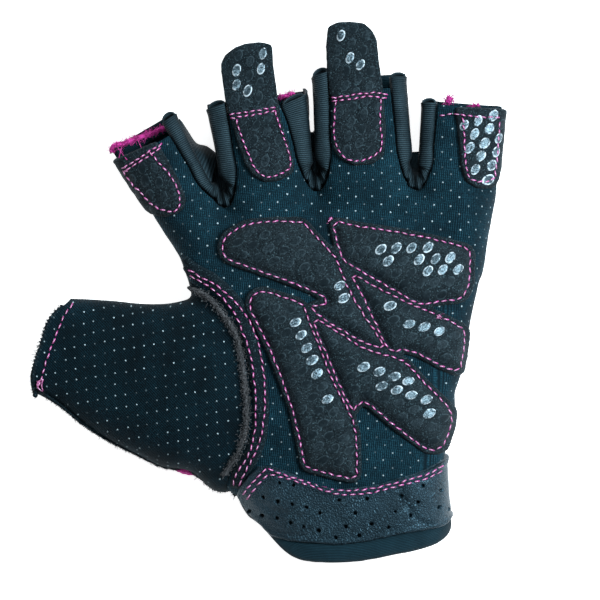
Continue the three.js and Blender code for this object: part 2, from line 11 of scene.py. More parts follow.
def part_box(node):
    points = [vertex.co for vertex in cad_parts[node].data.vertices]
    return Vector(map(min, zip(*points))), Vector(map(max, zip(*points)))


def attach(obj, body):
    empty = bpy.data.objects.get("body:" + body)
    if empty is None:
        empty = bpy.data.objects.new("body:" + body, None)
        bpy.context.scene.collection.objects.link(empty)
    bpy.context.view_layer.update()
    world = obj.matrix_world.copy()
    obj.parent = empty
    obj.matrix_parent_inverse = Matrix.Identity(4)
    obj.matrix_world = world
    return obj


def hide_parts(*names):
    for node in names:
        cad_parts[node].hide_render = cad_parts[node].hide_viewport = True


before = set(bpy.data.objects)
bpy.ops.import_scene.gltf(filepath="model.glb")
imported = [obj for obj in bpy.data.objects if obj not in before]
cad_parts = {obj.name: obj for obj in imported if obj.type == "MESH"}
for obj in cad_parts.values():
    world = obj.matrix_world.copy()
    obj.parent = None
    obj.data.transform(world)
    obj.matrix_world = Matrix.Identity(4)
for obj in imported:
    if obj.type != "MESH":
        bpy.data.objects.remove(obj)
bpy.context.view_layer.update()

bpy.context.scene.view_settings.view_transform = "Standard"
random.seed(7)

# everything below is worked out in millimetres and handed to Blender in metres
mm = 0.001

# the photo's own frame: a place read off the picture lands on the glove through these
picture = {
    "middleX": 345.0,   # pixel column of the palm's middle line
    "wristY": 561.0,    # pixel row of the wrist's edge
    "scale": 0.305,     # millimetres to the pixel
    "wide": 600,
}

# the same sizes as the solids
palm = {"length": 110.0, "width": 92.0, "height": 27.0, "wrist": 24.0, "knuckle": 18.0, "web": 13.0}
finger = {"rootHeight": 17.0, "mouthHeight": 11.5, "inside": 24.0}
thumb = {"length": 60.0, "mouthWidth": 31.0, "baseHeight": 25.0, "mouthHeight": 13.5, "turn": 10.9}
cloth = {"wall": 1.6, "seam": 3.4, "hem": 6.2, "clear": 0.1, "thumbClear": 0.12}

# the closure tab's solid says where the palm's middle line and wrist edge are
tabLow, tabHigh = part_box("wrist_closure_tab")
middleX = (tabLow.x + tabHigh.x) / 2 / mm + 0.02 * palm["width"]
wristY = (tabLow.y + tabHigh.y) / 2 / mm - 0.22 * palm["length"]


def spot(x, y):
    # a pixel of the photo as a place on the glove
    return np.array([middleX + (x - picture["middleX"]) * picture["scale"],
                     wristY + (picture["wristY"] - y) * picture["scale"]])


def spots(rows):
    return np.array([spot(x, y) for x, y in rows])


def share(x, y):
    # a place given as shares of the palm's width and length
    return np.array([middleX + x * palm["width"], wristY + y * palm["length"]])


def spline(xs, ys, at):
    # smooth curve through a few values, also for points with several coordinates
    xs = np.asarray(xs, float)
    ys = np.asarray(ys, float)
    at = np.clip(np.asarray(at, float), xs[0], xs[-1])
    slope = np.gradient(ys, xs, axis=0)
    i = np.clip(np.searchsorted(xs, at) - 1, 0, len(xs) - 2)
    h = xs[i + 1] - xs[i]
    t = (at - xs[i]) / h
    if ys.ndim > 1:
        grow = (slice(None),) + (None,) * (ys.ndim - 1)
        t = t[grow]
        h = h[grow]
    a = 2 * t ** 3 - 3 * t ** 2 + 1
    b = t ** 3 - 2 * t ** 2 + t
    c = -2 * t ** 3 + 3 * t ** 2
    d = t ** 3 - t ** 2
    return a * ys[i] + b * h * slope[i] + c * ys[i + 1] + d * h * slope[i + 1]


def alongLine(points, step, closed=False):
    # the same line with a point every step
    points = np.asarray(points, float)
    if closed:
        points = np.vstack([points, points[:1]])
    length = np.r_[0, np.cumsum(np.linalg.norm(np.diff(points, axis=0), axis=1))]
    count = max(int(round(length[-1] / step)), 2)
    at = np.linspace(0, length[-1], count + 1)
    line = np.stack([np.interp(at, length, points[:, k]) for k in range(points.shape[1])], 1)
    return line[:-1] if closed else line


def smoothLine(points, step, closed=False):
    # a rounded line through a few places
    points = np.asarray(points, float)
    if closed:
        points = np.vstack([points[-2:], points, points[:3]])
    length = np.r_[0, np.cumsum(np.linalg.norm(np.diff(points, axis=0), axis=1))]
    at = np.linspace(length[0], length[-1], 12 * len(points))
    if closed:
        at = np.linspace(length[2], length[-3], 12 * len(points))
    line = spline(length, points, at)
    return alongLine(line[:-1] if closed else line, step, closed)


def roundedOutline(points, radius, step):
    # straight runs with each corner rounded off
    points = np.asarray(points, float)
    line = []
    for i, corner in enumerate(points):
        before = points[i - 1]
        after = points[(i + 1) % len(points)]
        cutBefore = min(radius / max(np.linalg.norm(corner - before), 1e-6), 0.42)
        cutAfter = min(radius / max(np.linalg.norm(after - corner), 1e-6), 0.42)
        start = corner + (before - corner) * cutBefore
        end = corner + (after - corner) * cutAfter
        for t in np.linspace(0, 1, 6):
            line.append((1 - t) ** 2 * start + 2 * t * (1 - t) * corner + t ** 2 * end)
    return alongLine(line, step, True)


def signedDistance(points, outline):
    # distance to an outline seen from above, negative inside
    points = np.asarray(points, float)[:, :2]
    a = np.asarray(outline, float)
    b = np.roll(a, -1, axis=0)
    best = np.full(len(points), 1e9)
    inside = np.zeros(len(points), bool)
    for p, q in zip(a, b):
        edge = q - p
        t = np.clip(((points - p) @ edge) / max(edge @ edge, 1e-12), 0, 1)
        best = np.minimum(best, np.linalg.norm(points - (p + t[:, None] * edge), axis=1))
        crosses = (p[1] > points[:, 1]) != (q[1] > points[:, 1])
        if abs(edge[1]) > 1e-12:
            at = p[0] + (points[:, 1] - p[1]) / edge[1] * edge[0]
            inside ^= crosses & (points[:, 0] < at)
    return np.where(inside, -best, best)


def moved(outline, distance):
    # an outline moved outward, or inward where the distance is negative
    outline = np.asarray(outline, float)
    ahead = np.roll(outline, -1, axis=0) - np.roll(outline, 1, axis=0)
    normal = np.stack([ahead[:, 1], -ahead[:, 0]], 1)
    normal /= np.maximum(np.linalg.norm(normal, axis=1, keepdims=True), 1e-9)
    x, y = outline.T
    area = 0.5 * np.sum(x * np.roll(y, -1) - np.roll(x, -1) * y)
    return outline + normal * distance * (1 if area > 0 else -1)


def ripple(points, size, seed=0.0):
    # smooth noise from -1 to 1 at each point
    return np.array([noise.noise(Vector((p[0] / size + seed, p[1] / size - seed, p[2] / size)))
                     for p in points])


# the four finger stubs, as in the solids: root place and widths are shares of the palm
fingers = {
    "index": {"x": -0.486, "y": 0.927, "root": 0.214, "mouth": 0.255, "lean": 30.3,
              "front": 28.5, "back": 34.2, "tab": 0.0},
    "middle": {"x": -0.247, "y": 1.002, "root": 0.306, "mouth": 0.344, "lean": 7.9,
               "front": 28.7, "back": 31.7, "tab": 19.4},
    "ring": {"x": 0.07, "y": 1.026, "root": 0.33, "mouth": 0.32, "lean": 3.4,
             "front": 31.0, "back": 35.4, "tab": 20.7},
    "little": {"x": 0.366, "y": 1.013, "root": 0.262, "mouth": 0.277, "lean": -4.6,
               "front": 27.3, "back": 28.6, "tab": 0.0},
}
pairs = [("index", "middle"), ("middle", "ring"), ("ring", "little")]


def fingerAxes(f):
    turn = math.radians(f["lean"])
    forward = np.array([-math.sin(turn), math.cos(turn)])
    sideways = np.array([math.cos(turn), math.sin(turn)])
    return share(f["x"], f["y"]), forward, sideways


def onFinger(f, across, along):
    root, forward, sideways = fingerAxes(f)
    return root + forward * along + sideways * across


def fingerHalf(f, along):
    t = np.clip(along / f["back"], 0, 1)
    return 0.5 * palm["width"] * (f["root"] + (f["mouth"] - f["root"]) * t)


def fingerHeight(f, along):
    rise = spline([-24, 0, 0.3 * f["back"], 0.65 * f["back"], f["back"]],
                  [1.02, 1, 0.52, 0.16, 0], along)
    return finger["mouthHeight"] + (finger["rootHeight"] - finger["mouthHeight"]) * rise


def fingerTop(f, across, along, bulge=2.3):
    # height of a finger's upper side at a place across it
    top = float(fingerHeight(f, np.array([along]))[0])
    side = 0.42 * top
    x = min(abs(across) / fingerHalf(f, along), 0.999)
    return side + (top - side) * (1 - x ** bulge) ** (1 / bulge)


def onThumb(across, along):
    turn = math.radians(thumb["turn"])
    forward = np.array([-math.cos(turn), math.sin(turn)])
    sideways = np.array([math.sin(turn), math.cos(turn)])
    return share(-0.332, 0.488) + forward * along + sideways * across


# the glove's smooth form

def ringOf(left, right, height, web, bulge):
    # one flat-backed section between two edges
    across = (right - left) / np.linalg.norm(right - left)
    forward = np.array([-across[1], across[0]])
    middle = (left + right) / 2
    half = np.linalg.norm(right - left) / 2
    side = 0.42 * height
    corner = side * 1.1
    turn = np.linspace(0, np.pi, 49)
    x = half * np.sign(np.cos(turn)) * np.abs(np.cos(turn)) ** (2 / bulge)
    z = side + (height - side) * np.sin(turn) ** (2 / bulge)
    down = np.linspace(0, np.pi / 2, 10)[1:]
    x = np.r_[x, -half + corner * (1 - np.cos(down)), half - corner * (1 - np.cos(down[::-1]))]
    z = np.r_[z, side - side * np.sin(down), side - side * np.sin(down[::-1])]
    shift = web * np.clip(1 - z / height, 0, 1)
    flat = middle + x[:, None] * across + shift[:, None] * forward
    return np.column_stack([flat, z])


palmRows = np.array([  # along, skew, left, right, rise, drop, web
    [-0.05, 0, -0.242, 0.335, 0, 0, 0],
    [0.058, 0, -0.275, 0.348, 0.05, 0, 0],
    [0.114, 0, -0.308, 0.351, 0.2, 0, 0],
    [0.197, 0, -0.361, 0.345, 0.5, 0, 0],
    [0.294, 0, -0.408, 0.342, 0.85, 0, 0],
    [0.391, 0, -0.441, 0.362, 1, 0, 0],
    [0.488, 0, -0.464, 0.38, 1, 0.02, 0],
    [0.585, 0, -0.481, 0.4, 1, 0.1, 0],
    [0.668, 0, -0.496, 0.417, 1, 0.24, 0],
    [0.749, 0.01, -0.511, 0.441, 1, 0.42, 0.05],
    [0.826, 0.03, -0.54, 0.464, 1, 0.63, 0.2],
    [0.9, 0.06, -0.568, 0.474, 1, 0.83, 0.55],
    [0.962, 0.1, -0.55, 0.474, 1, 1, 1],
])
thumbRows = np.array([  # along, upper, lower, rise
    [-0.2, 0.6, 0.83, 0.95],
    [0.05, 0.78, 1, 1],
    [0.2, 0.79, 0.96, 0.96],
    [0.33, 0.75, 0.95, 0.85],
    [0.46, 0.647, 0.88, 0.66],
    [0.58, 0.6, 0.82, 0.48],
    [0.755, 0.569, 0.706, 0.25],
    [0.9, 0.53, 0.57, 0.08],
    [1, 0.5, 0.5, 0],
    [1.25, 0.46, 0.44, -0.05],
])


def palmRings():
    rings = []
    for row in spline(palmRows[:, 0], palmRows, np.linspace(-0.05, 0.962, 70)):
        along, skew, left, right, rise, drop, web = row
        height = palm["wrist"] + (palm["height"] - palm["wrist"]) * rise
        height += (palm["knuckle"] - height) * drop
        rings.append(ringOf(share(left, along - skew / 2), share(right, along + skew / 2),
                            height, web * palm["web"], 2.7))
    return rings


def fingerRings(f):
    rings = []
    for along in np.linspace(-finger["inside"], f["back"] + f["tab"] + cloth["hem"], 34):
        narrow = np.interp(along, [-finger["inside"], 0], [0.86, 1])
        half = fingerHalf(f, along) * narrow
        height = float(fingerHeight(f, np.array([along]))[0])
        rings.append(ringOf(onFinger(f, -half, along), onFinger(f, half, along), height, 0, 2.3))
    return rings


def thumbRings():
    rings = []
    for row in spline(thumbRows[:, 0], thumbRows, np.linspace(-0.2, 1.25, 50)):
        along, upper, lower, rise = row
        height = thumb["mouthHeight"] + (thumb["baseHeight"] - thumb["mouthHeight"]) * rise
        low = onThumb(-lower * thumb["mouthWidth"], along * thumb["length"])
        high = onThumb(upper * thumb["mouthWidth"], along * thumb["length"])
        rings.append(ringOf(low, high, height, 0, 2.3))
    return rings


def meshObject(name, points, faces, finish=None):
    data = bpy.data.meshes.new(name)
    data.from_pydata((np.asarray(points) * mm).tolist(), [], [tuple(map(int, f)) for f in faces])
    data.validate()
    data.polygons.foreach_set("use_smooth", [True] * len(data.polygons))
    piece = bpy.data.objects.new(name, data)
    bpy.context.scene.collection.objects.link(piece)
    if finish:
        data.materials.append(finish)
    return piece


def meshArrays(data):
    points = np.zeros(len(data.vertices) * 3)
    data.vertices.foreach_get("co", points)
    return points.reshape(-1, 3) / mm, [tuple(f.vertices) for f in data.polygons]


def edgesOf(faces):
    pairsOf = {}
    for f in faces:
        for a, b in zip(f, f[1:] + f[:1]):
            key = (a, b) if a < b else (b, a)
            pairsOf[key] = pairsOf.get(key, 0) + 1
    return pairsOf


def relax(points, faces, rounds, amount=0.5, free=None):
    # evens out a surface, each point towards its neighbours
    edges = np.array(list(edgesOf(faces)))
    ends = np.concatenate([edges, edges[:, ::-1]])
    count = np.bincount(ends[:, 0], minlength=len(points))[:, None]
    points = points.copy()
    for _ in range(rounds):
        mean = np.stack([np.bincount(ends[:, 0], points[ends[:, 1], k], len(points))
                         for k in range(3)], 1) / np.maximum(count, 1)
        step = amount * (mean - points)
        points += step if free is None else step * free[:, None]
    return points


def pointNormals(points, faces):
    normal = np.zeros_like(points)
    for size in (3, 4):
        group = np.array([f for f in faces if len(f) == size])
        if len(group):
            p = points[group]
            n = np.cross(p[:, 2] - p[:, 0], p[:, -1] - p[:, 1] if size == 4 else p[:, 1] - p[:, 0])
            n = n if size == 4 else -n
            for k in range(size):
                np.add.at(normal, group[:, k], n)
    return normal / np.maximum(np.linalg.norm(normal, axis=1, keepdims=True), 1e-9)


def treeOf(points, faces):
    return BVHTree.FromPolygons([Vector(p) for p in points], faces)


softening = {"voxel": 0.8, "rounds": 10, "upper": 15}  # mm, rounds of smoothing, mm

# small swells and hollows of the outline: place in the photo, reach in mm, amount in mm
formPushes = [((222, 489), 5.5, 3.2), ((450, 462), 6.0, -1.3), ((449, 496), 7.0, -1.4),
              ((453, 392), 4.0, -1.2), ((186, 473), 5.0, -0.9), ((270, 540), 6.0, 1.0),
              ((494, 195), 7.0, 0.6)]


def makeForm():
    # all tubes together, fused and softened where they meet
    points = []
    faces = []
    tubes = [palmRings(), thumbRings()] + [fingerRings(f) for f in fingers.values()]
    for rings in tubes:
        base = len(points)
        count = len(rings[0])
        for r, ring in enumerate(rings):
            points.extend(ring)
            if r:
                low = base + (r - 1) * count
                faces += [(low + i, low + (i + 1) % count, low + count + (i + 1) % count,
                           low + count + i) for i in range(count)]
        faces.append(tuple(range(base, base + count))[::-1])
        faces.append(tuple(range(len(points) - count, len(points))))
    rough = meshObject("rough_form", points, faces)
    fuse = rough.modifiers.new("fuse", "REMESH")
    fuse.mode = "VOXEL"
    fuse.voxel_size = softening["voxel"] * mm
    bpy.context.view_layer.update()
    done = rough.evaluated_get(bpy.context.evaluated_depsgraph_get())
    points, faces = meshArrays(done.to_mesh())
    done.to_mesh_clear()
    bpy.data.objects.remove(rough)
    points = relax(points, faces, softening["rounds"])
    points[:, 2] -= points[:, 2].min()
    normals = pointNormals(points, faces)
    if normals[points[:, 2] > softening["upper"], 2].mean() < 0:
        normals = -normals
    for (x, y), reach, amount in formPushes:
        away = np.linalg.norm(points[:, :2] - spot(x, y), axis=1)
        flat = 1 - np.abs(normals[:, 2])
        points += normals * (amount * flat * np.exp(-(away / reach) ** 2))[:, None]
    return points, faces


formPoints, formFaces = makeForm()
upperPoints = formPoints[:, 2] > softening["upper"]
if np.mean(pointNormals(formPoints, formFaces)[upperPoints, 2]) < 0:
    formFaces = [f[::-1] for f in formFaces]
formTree = treeOf(formPoints, formFaces)
print("form", len(formPoints), "points")

# soft dents and folds of the knit, as places in the photo: from, to, width in mm, depth in mm
knitFolds = [
    ((196, 300), (262, 292), 2.6, 0.5),
    ((205, 330), (238, 352), 3.0, 0.5),
    ((150, 308), (212, 345), 3.4, 0.45),
    ((70, 330), (128, 312), 3.0, 0.35),
    ((60, 352), (150, 360), 4.0, 0.3),
    ((120, 440), (190, 418), 4.0, 0.5),
    ((205, 470), (236, 425), 2.6, 0.7),
    ((190, 462), (226, 428), 2.6, 0.45),
    ((200, 245), (240, 222), 3.2, 0.4),
    ((330, 205), (405, 212), 3.2, 0.35),
    ((434, 205), (480, 222), 3.0, 0.4),
    ((250, 200), (300, 205), 3.0, 0.35),
    ((372, 430), (392, 470), 3.0, 0.35),
    ((270, 430), (276, 462), 3.0, 0.4),
]


def foldDepth(points):
    depth = np.zeros(len(points))
    for start, end, width, deep in knitFolds:
        a = spot(*start)
        edge = spot(*end) - a
        t = ((points[:, :2] - a) @ edge) / (edge @ edge)
        off = np.linalg.norm(points[:, :2] - (a + np.clip(t, 0, 1)[:, None] * edge), axis=1)
        fade = np.clip(1 - np.abs(t - 0.5) * 1.6, 0, 1)
        depth += deep * fade * np.exp(-(off / width) ** 2)
    return depth


# regions of the skin, seen from above

def mouthLine(f, along):
    # distance past a finger's mouth, positive outside the glove
    root, forward, sideways = fingerAxes(f)

    def measure(points):
        rel = points[:, :2] - root
        ahead = rel @ forward - along
        side = np.abs(rel @ sideways) - fingerHalf(f, f["back"]) - 0.85
        return np.minimum(ahead, -side)
    return measure


thumbSeam = np.array([share(x, y) for x, y in [
    (-0.62, 0.79), (-0.53, 0.775), (-0.46, 0.746), (-0.4, 0.7), (-0.355, 0.642), (-0.327, 0.57),
    (-0.315, 0.49), (-0.315, 0.41), (-0.332, 0.34), (-0.362, 0.28), (-0.388, 0.225), (-0.39, 0.15)]])
seamLine = smoothLine(thumbSeam, 1.0)
thumbRegion = np.vstack([seamLine, [[seamLine[-1][0], wristY - 60], [middleX - 300, wristY - 60],
                                    [middleX - 300, seamLine[0][1]]]])
wristLine = smoothLine(np.array([share(x, y) for x, y in [
    (-0.42, 0.14), (-0.275, 0.094), (-0.252, 0.072), (-0.196, 0.022), (-0.151, 0.0055),
    (-0.086, 0), (0.046, 0.003), (0.152, 0.019), (0.282, 0.042), (0.325, 0.057), (0.36, 0.09),
    (0.45, 0.11)]]), 1.0)
thumbMouth = np.array([onThumb(across * thumb["mouthWidth"], along * thumb["length"])
                       for across, along in [(0.56, 0.94), (0.46, 0.97), (0.33, 1.025), (0, 1.06),
                                             (-0.4, 1.07), (-0.6, 1.01)]])
thumbMouth = np.vstack([smoothLine(thumbMouth, 1.0),
                        [onThumb(-60, 110), onThumb(60, 110)]])


def wristRegion(points, shift):
    # negative above the wrist line moved up by shift
    edge = np.interp(points[:, 0], wristLine[:, 0], wristLine[:, 1] + shift)
    return edge - points[:, 1]


def allOf(*measures):
    # inside every region at once
    return lambda points: np.max([m(points) for m in measures], axis=0)


def outside(measure):
    return lambda points: -measure(points)


def over(outline):
    return lambda points: signedDistance(points, outline)


def skin(name, region, finish, lift=0.0, thickness=cloth["wall"], change=None):
    # a sheet cut from the form along clean edges, with its thickness on the inside
    value = region(formPoints)
    middle = np.array([value[list(f)].mean() for f in formFaces])
    kept = [formFaces[i] for i in np.nonzero(middle < 0)[0]]
    used = np.unique([i for f in kept for i in f])
    fresh = -np.ones(len(formPoints), int)
    fresh[used] = np.arange(len(used))
    faces = [tuple(int(fresh[i]) for i in f) for f in kept]
    points = formPoints[used].copy()
    border = [key for key, uses in edgesOf(faces).items() if uses == 1]
    rim = np.unique(border)
    for _ in range(4):
        p = points[rim]
        here = region(p)
        slope = np.stack([(region(p + step) - here) / 0.05 for step in 0.05 * np.eye(3)], 1)
        size = np.maximum((slope ** 2).sum(1), 0.25)
        p = p - np.clip(here / size, -0.8, 0.8)[:, None] * slope
        points[rim] = [formTree.find_nearest(Vector(q))[0] for q in p]
    inner = np.ones(len(points))
    inner[rim] = 0
    points = relax(points, faces, 2, 0.4, inner)
    normals = pointNormals(points, faces)
    if change:
        points = points + normals * change(points, normals)[:, None]
    top = points + normals * lift
    low = points + normals * (lift - thickness)
    low[:, 2] = np.maximum(low[:, 2], 0.05)
    top[:, 2] = np.maximum(top[:, 2], 0.0)
    return closedSheet(name, top, low, faces, finish)


def closedSheet(name, top, low, faces, finish):
    # two surfaces joined round their border
    count = len(top)
    directed = {}
    for f in faces:
        for a, b in zip(f, f[1:] + f[:1]):
            directed[(a, b)] = directed.get((a, b), 0) + 1
    rimFaces = [(b, a, a + count, b + count) for a, b in directed if (b, a) not in directed]
    both = list(faces) + [tuple(i + count for i in f[::-1]) for f in faces] + rimFaces
    piece = meshObject(name, np.vstack([top, low]), both, finish)
    return piece, top, faces


def net(outline, spacing, rings=(0.35, 0.8), holes=()):
    # a flat net inside an outline, finer along its edge, with round holes left open
    line = alongLine(outline, spacing, True)
    keep = [line]
    for r in rings:
        inner = moved(line, -r)
        keep.append(inner[signedDistance(inner, line) < -0.8 * r])
    low = line.min(0)
    high = line.max(0)
    xs = np.arange(low[0], high[0], spacing)
    ys = np.arange(low[1], high[1], spacing * 0.866)
    grid = np.array([(x + (j % 2) * spacing / 2, y) for j, y in enumerate(ys) for x in xs])
    reach = rings[-1] + spacing * 0.6
    grid = grid[signedDistance(grid, line) < -reach]
    turn = np.linspace(0, 2 * np.pi, 9)[:-1]
    edges = [(i, (i + 1) % len(line)) for i in range(len(line))]
    rounds = []
    for centre, radius in holes:
        grid = grid[np.linalg.norm(grid - centre, axis=1) > radius + 0.25]
        rounds.append(centre + radius * np.stack([np.cos(turn), np.sin(turn)], 1))
    count = len(line)
    for _ in rounds:
        edges += [(count + i, count + (i + 1) % 8) for i in range(8)]
        count += 8
    flat = np.vstack([line] + rounds + keep[1:] + [grid])
    out = delaunay_2d_cdt([Vector(p) for p in flat], edges, [list(range(len(line)))], 1, 1e-6)
    flat = np.array([tuple(v) for v in out[0]])
    faces = np.array([tuple(f) for f in out[2]])
    a, b, c = (flat[faces[:, k]] for k in range(3))
    area = (b[:, 0] - a[:, 0]) * (c[:, 1] - a[:, 1]) - (c[:, 0] - a[:, 0]) * (b[:, 1] - a[:, 1])
    faces[area < 0] = faces[area < 0][:, ::-1]
    for centre, radius in holes:
        faces = faces[np.linalg.norm((a + b + c) / 3 - centre, axis=1) > radius]
        a, b, c = (flat[faces[:, k]] for k in range(3))
    used = np.unique(faces)
    fresh = -np.ones(len(flat), int)
    fresh[used] = np.arange(len(used))
    flat = flat[used]
    return flat, [tuple(int(i) for i in f) for f in fresh[faces]], -signedDistance(flat, line)


# a place to lay things on: where its zero is, which way it runs, and where it turns down a side
fromAbove = {"root": np.zeros(2), "forward": np.array([0.0, 1.0]), "sideways": np.array([1.0, 0.0]),
             "turns": ()}


def onForm(tree, flat, bed=fromAbove):
    # each flat place set down on the surface; past a turn the ray swings round to the side
    points = np.zeros((len(flat), 3))
    for i, (across, along) in enumerate(flat):
        pivot = (across, 0.0)
        way = np.array([0.0, 1.0])
        for at, side, height, radius in bed["turns"]:
            past = side * (across - at)
            if past > 0:
                pivot = (at, height)
                way = np.array([side * math.sin(past / radius), math.cos(past / radius)])
        where = bed["root"] + bed["forward"] * along
        a = pivot[0] + way[0] * 60
        z = pivot[1] + way[1] * 60
        start = Vector((*(where + bed["sideways"] * a), z))
        toward = Vector((*(bed["sideways"] * -way[0]), -way[1]))
        hit = tree.ray_cast(start, toward)[0]
        if hit is None:
            here = where + bed["sideways"] * across
            hit = tree.find_nearest(Vector((here[0], here[1], 14)))[0]
        points[i] = hit
    return points


def heightsOn(tree, flat):
    return onForm(tree, flat)[:, 2]


def laid(name, outline, tree, finish, lift, rise, spacing=0.6, thick=1.0, rings=(0.35, 0.8),
         bed=fromAbove, holes=()):
    # a piece of suede or felt laid on the glove: rise gives its height by distance from its edge
    flat, faces, inward = net(outline, spacing, rings, holes)
    base = relax(onForm(tree, flat, bed), faces, 3, 0.5)
    normals = pointNormals(relax(base, faces, 4, 0.6), faces)
    top = base + normals * (lift + rise(base, inward))[:, None]
    low = base + normals * (lift - thick)
    return closedSheet(name, top, low, faces, finish)


# materials

def newMaterial(name, roughness, sheen=0.0, shine=0.2):
    made = bpy.data.materials.new(name)
    made.use_nodes = True
    shader = made.node_tree.nodes["Principled BSDF"]
    shader.inputs["Roughness"].default_value = roughness
    shader.inputs["Specular IOR Level"].default_value = shine
    shader.inputs["Specular Tint"].default_value = (0.62, 0.86, 1.0, 1)
    shader.inputs["Sheen Weight"].default_value = sheen
    shader.inputs["Sheen Roughness"].default_value = 0.45
    return made


def node(made, kind, values=None, **settings):
    new = made.node_tree.nodes.new(kind)
    for key, value in settings.items():
        setattr(new, key, value)
    for key, value in (values or {}).items():
        if hasattr(value, "is_output"):
            made.node_tree.links.new(value, new.inputs[key])
        else:
            new.inputs[key].default_value = value
    return new


def maths(made, operation, a, b=None, clamp=False):
    values = {0: a} if b is None else {0: a, 1: b}
    return node(made, "ShaderNodeMath", values, operation=operation, use_clamp=clamp).outputs[0]


def vectorMaths(made, operation, a, b=None):
    values = {0: a} if b is None else {0: a, 1: b}
    return node(made, "ShaderNodeVectorMath", values, operation=operation)


def blend(made, factor, a, b):
    mix = node(made, "ShaderNodeMix", {0: factor}, data_type="RGBA")
    for socket, value in ((mix.inputs[6], a), (mix.inputs[7], b)):
        if hasattr(value, "is_output"):
            made.node_tree.links.new(value, socket)
        else:
            socket.default_value = (*value, 1)
    return mix.outputs[2]


def noiseOf(made, at, scale, detail=2.0, roughness=0.55):
    values = {"Vector": at, "Scale": scale, "Detail": detail, "Roughness": roughness}
    return node(made, "ShaderNodeTexNoise", values).outputs["Fac"]


def stretch(made, value, low, high, toLow=0.0, toHigh=1.0):
    values = {0: value, 1: low, 2: high, 3: toLow, 4: toHigh}
    return node(made, "ShaderNodeMapRange", values, clamp=True).outputs[0]


def finishMaterial(made, colour, heights, roughness=None):
    # heights: (value, distance in mm, strength) from coarse to fine
    shader = made.node_tree.nodes["Principled BSDF"]
    links = made.node_tree.links
    links.new(colour, shader.inputs["Base Color"])
    if roughness is not None:
        links.new(roughness, shader.inputs["Roughness"])
    normal = None
    for value, distance, strength in heights:
        values = {"Height": value, "Distance": distance * mm, "Strength": strength}
        if normal is not None:
            values["Normal"] = normal
        normal = node(made, "ShaderNodeBump", values).outputs[0]
    links.new(normal, shader.inputs["Normal"])
    return made


def millimetres(made):
    # the place in the shared frame, in millimetres
    where = node(made, "ShaderNodeTexCoord")
    at = vectorMaths(made, "SCALE", where.outputs["Object"])
    at.inputs["Scale"].default_value = 1 / mm
    return at.outputs[0]


def facing(made):
    # the normal's x, y and z
    where = node(made, "ShaderNodeTexCoord")
    return node(made, "ShaderNodeSeparateXYZ", {0: where.outputs["Normal"]}).outputs


def faceCoordinates(made, at, edge=None):
    # millimetres along the face: from above on the top, upright on the sides
    split = node(made, "ShaderNodeSeparateXYZ", {0: at})
    turned = facing(made)
    side = stretch(made, maths(made, "ABSOLUTE", turned[2]), 0.55, 0.551, 1, 0)
    outX = maths(made, "ABSOLUTE", turned[0])
    outY = maths(made, "ABSOLUTE", turned[1])
    facesX = maths(made, "GREATER_THAN", outX, outY)
    up = maths(made, "MULTIPLY", split.outputs[2], side)
    upX = maths(made, "MULTIPLY", up, facesX)
    x = maths(made, "ADD", split.outputs[0], upX)
    if edge:
        # unrolls the wall below the palm's outer edge, which runs along x = start + slope * y
        start, slope, high = edge
        line = maths(made, "ADD", maths(made, "MULTIPLY", split.outputs[1], slope), start)
        rolled = stretch(made, maths(made, "SUBTRACT", line, split.outputs[0]), 2, 10, 1, 0)
        drop = maths(made, "SUBTRACT", high, split.outputs[2])
        x = maths(made, "ADD", split.outputs[0], maths(made, "MULTIPLY", rolled, drop))
    y = maths(made, "ADD", split.outputs[1], maths(made, "SUBTRACT", up, upX))
    return node(made, "ShaderNodeCombineXYZ", {0: x, 1: y}).outputs[0]


def dotMask(made, at, stepA, stepB, radius):
    # pin dots on a slanted lattice with the two steps in mm
    det = stepA[0] * stepB[1] - stepA[1] * stepB[0]
    wobble = node(made, "ShaderNodeTexNoise", {"Vector": at, "Scale": 0.11, "Detail": 1.0})
    shift = vectorMaths(made, "SCALE", wobble.outputs["Color"])
    shift.inputs["Scale"].default_value = 1.6
    split = node(made, "ShaderNodeSeparateXYZ",
                 {0: vectorMaths(made, "ADD", at, shift.outputs[0]).outputs[0]})
    x, y = split.outputs[0], split.outputs[1]

    def combine(p, q, a, b):
        return maths(made, "ADD", maths(made, "MULTIPLY", p, a), maths(made, "MULTIPLY", q, b))

    u = combine(x, y, stepB[1] / det, -stepB[0] / det)
    v = combine(x, y, -stepA[1] / det, stepA[0] / det)
    u = maths(made, "SUBTRACT", maths(made, "FRACT", u), 0.5)
    v = maths(made, "SUBTRACT", maths(made, "FRACT", v), 0.5)
    px = combine(u, v, stepA[0], stepB[0])
    py = combine(u, v, stepA[1], stepB[1])
    away = maths(made, "SQRT", maths(made, "ADD", maths(made, "MULTIPLY", px, px),
                                     maths(made, "MULTIPLY", py, py)))
    return stretch(made, away, radius * 0.35, radius, 1, 0)


# the knits: tone in the hollows and on the crests, the dots' tone, their two steps and their
# radius in mm, and the turn of the weave
knits = {
    "palm_knit": {"dark": (0.0008, 0.0060, 0.0100), "light": (0.0095, 0.052, 0.078),
                  "dot": (0.46, 0.60, 0.66), "stepA": (2.56, -2.41), "stepB": (2.68, 2.29),
                  "radius": 0.33, "turn": 0.1},
    "thumb_knit": {"dark": (0.0003, 0.0024, 0.0042), "light": (0.0036, 0.022, 0.034),
                   "dot": (0.46, 0.60, 0.66), "stepA": (3.02, 0.56), "stepB": (0.15, -3.42),
                   "radius": 0.31, "turn": -0.75},
    "back_knit": {"dark": (0.001, 0.005, 0.008), "light": (0.007, 0.026, 0.038),
                  "dot": (0.08, 0.13, 0.16), "stepA": (3.0, 0.3), "stepB": (0.3, -3.4),
                  "radius": 0.3, "turn": 0.6},
}


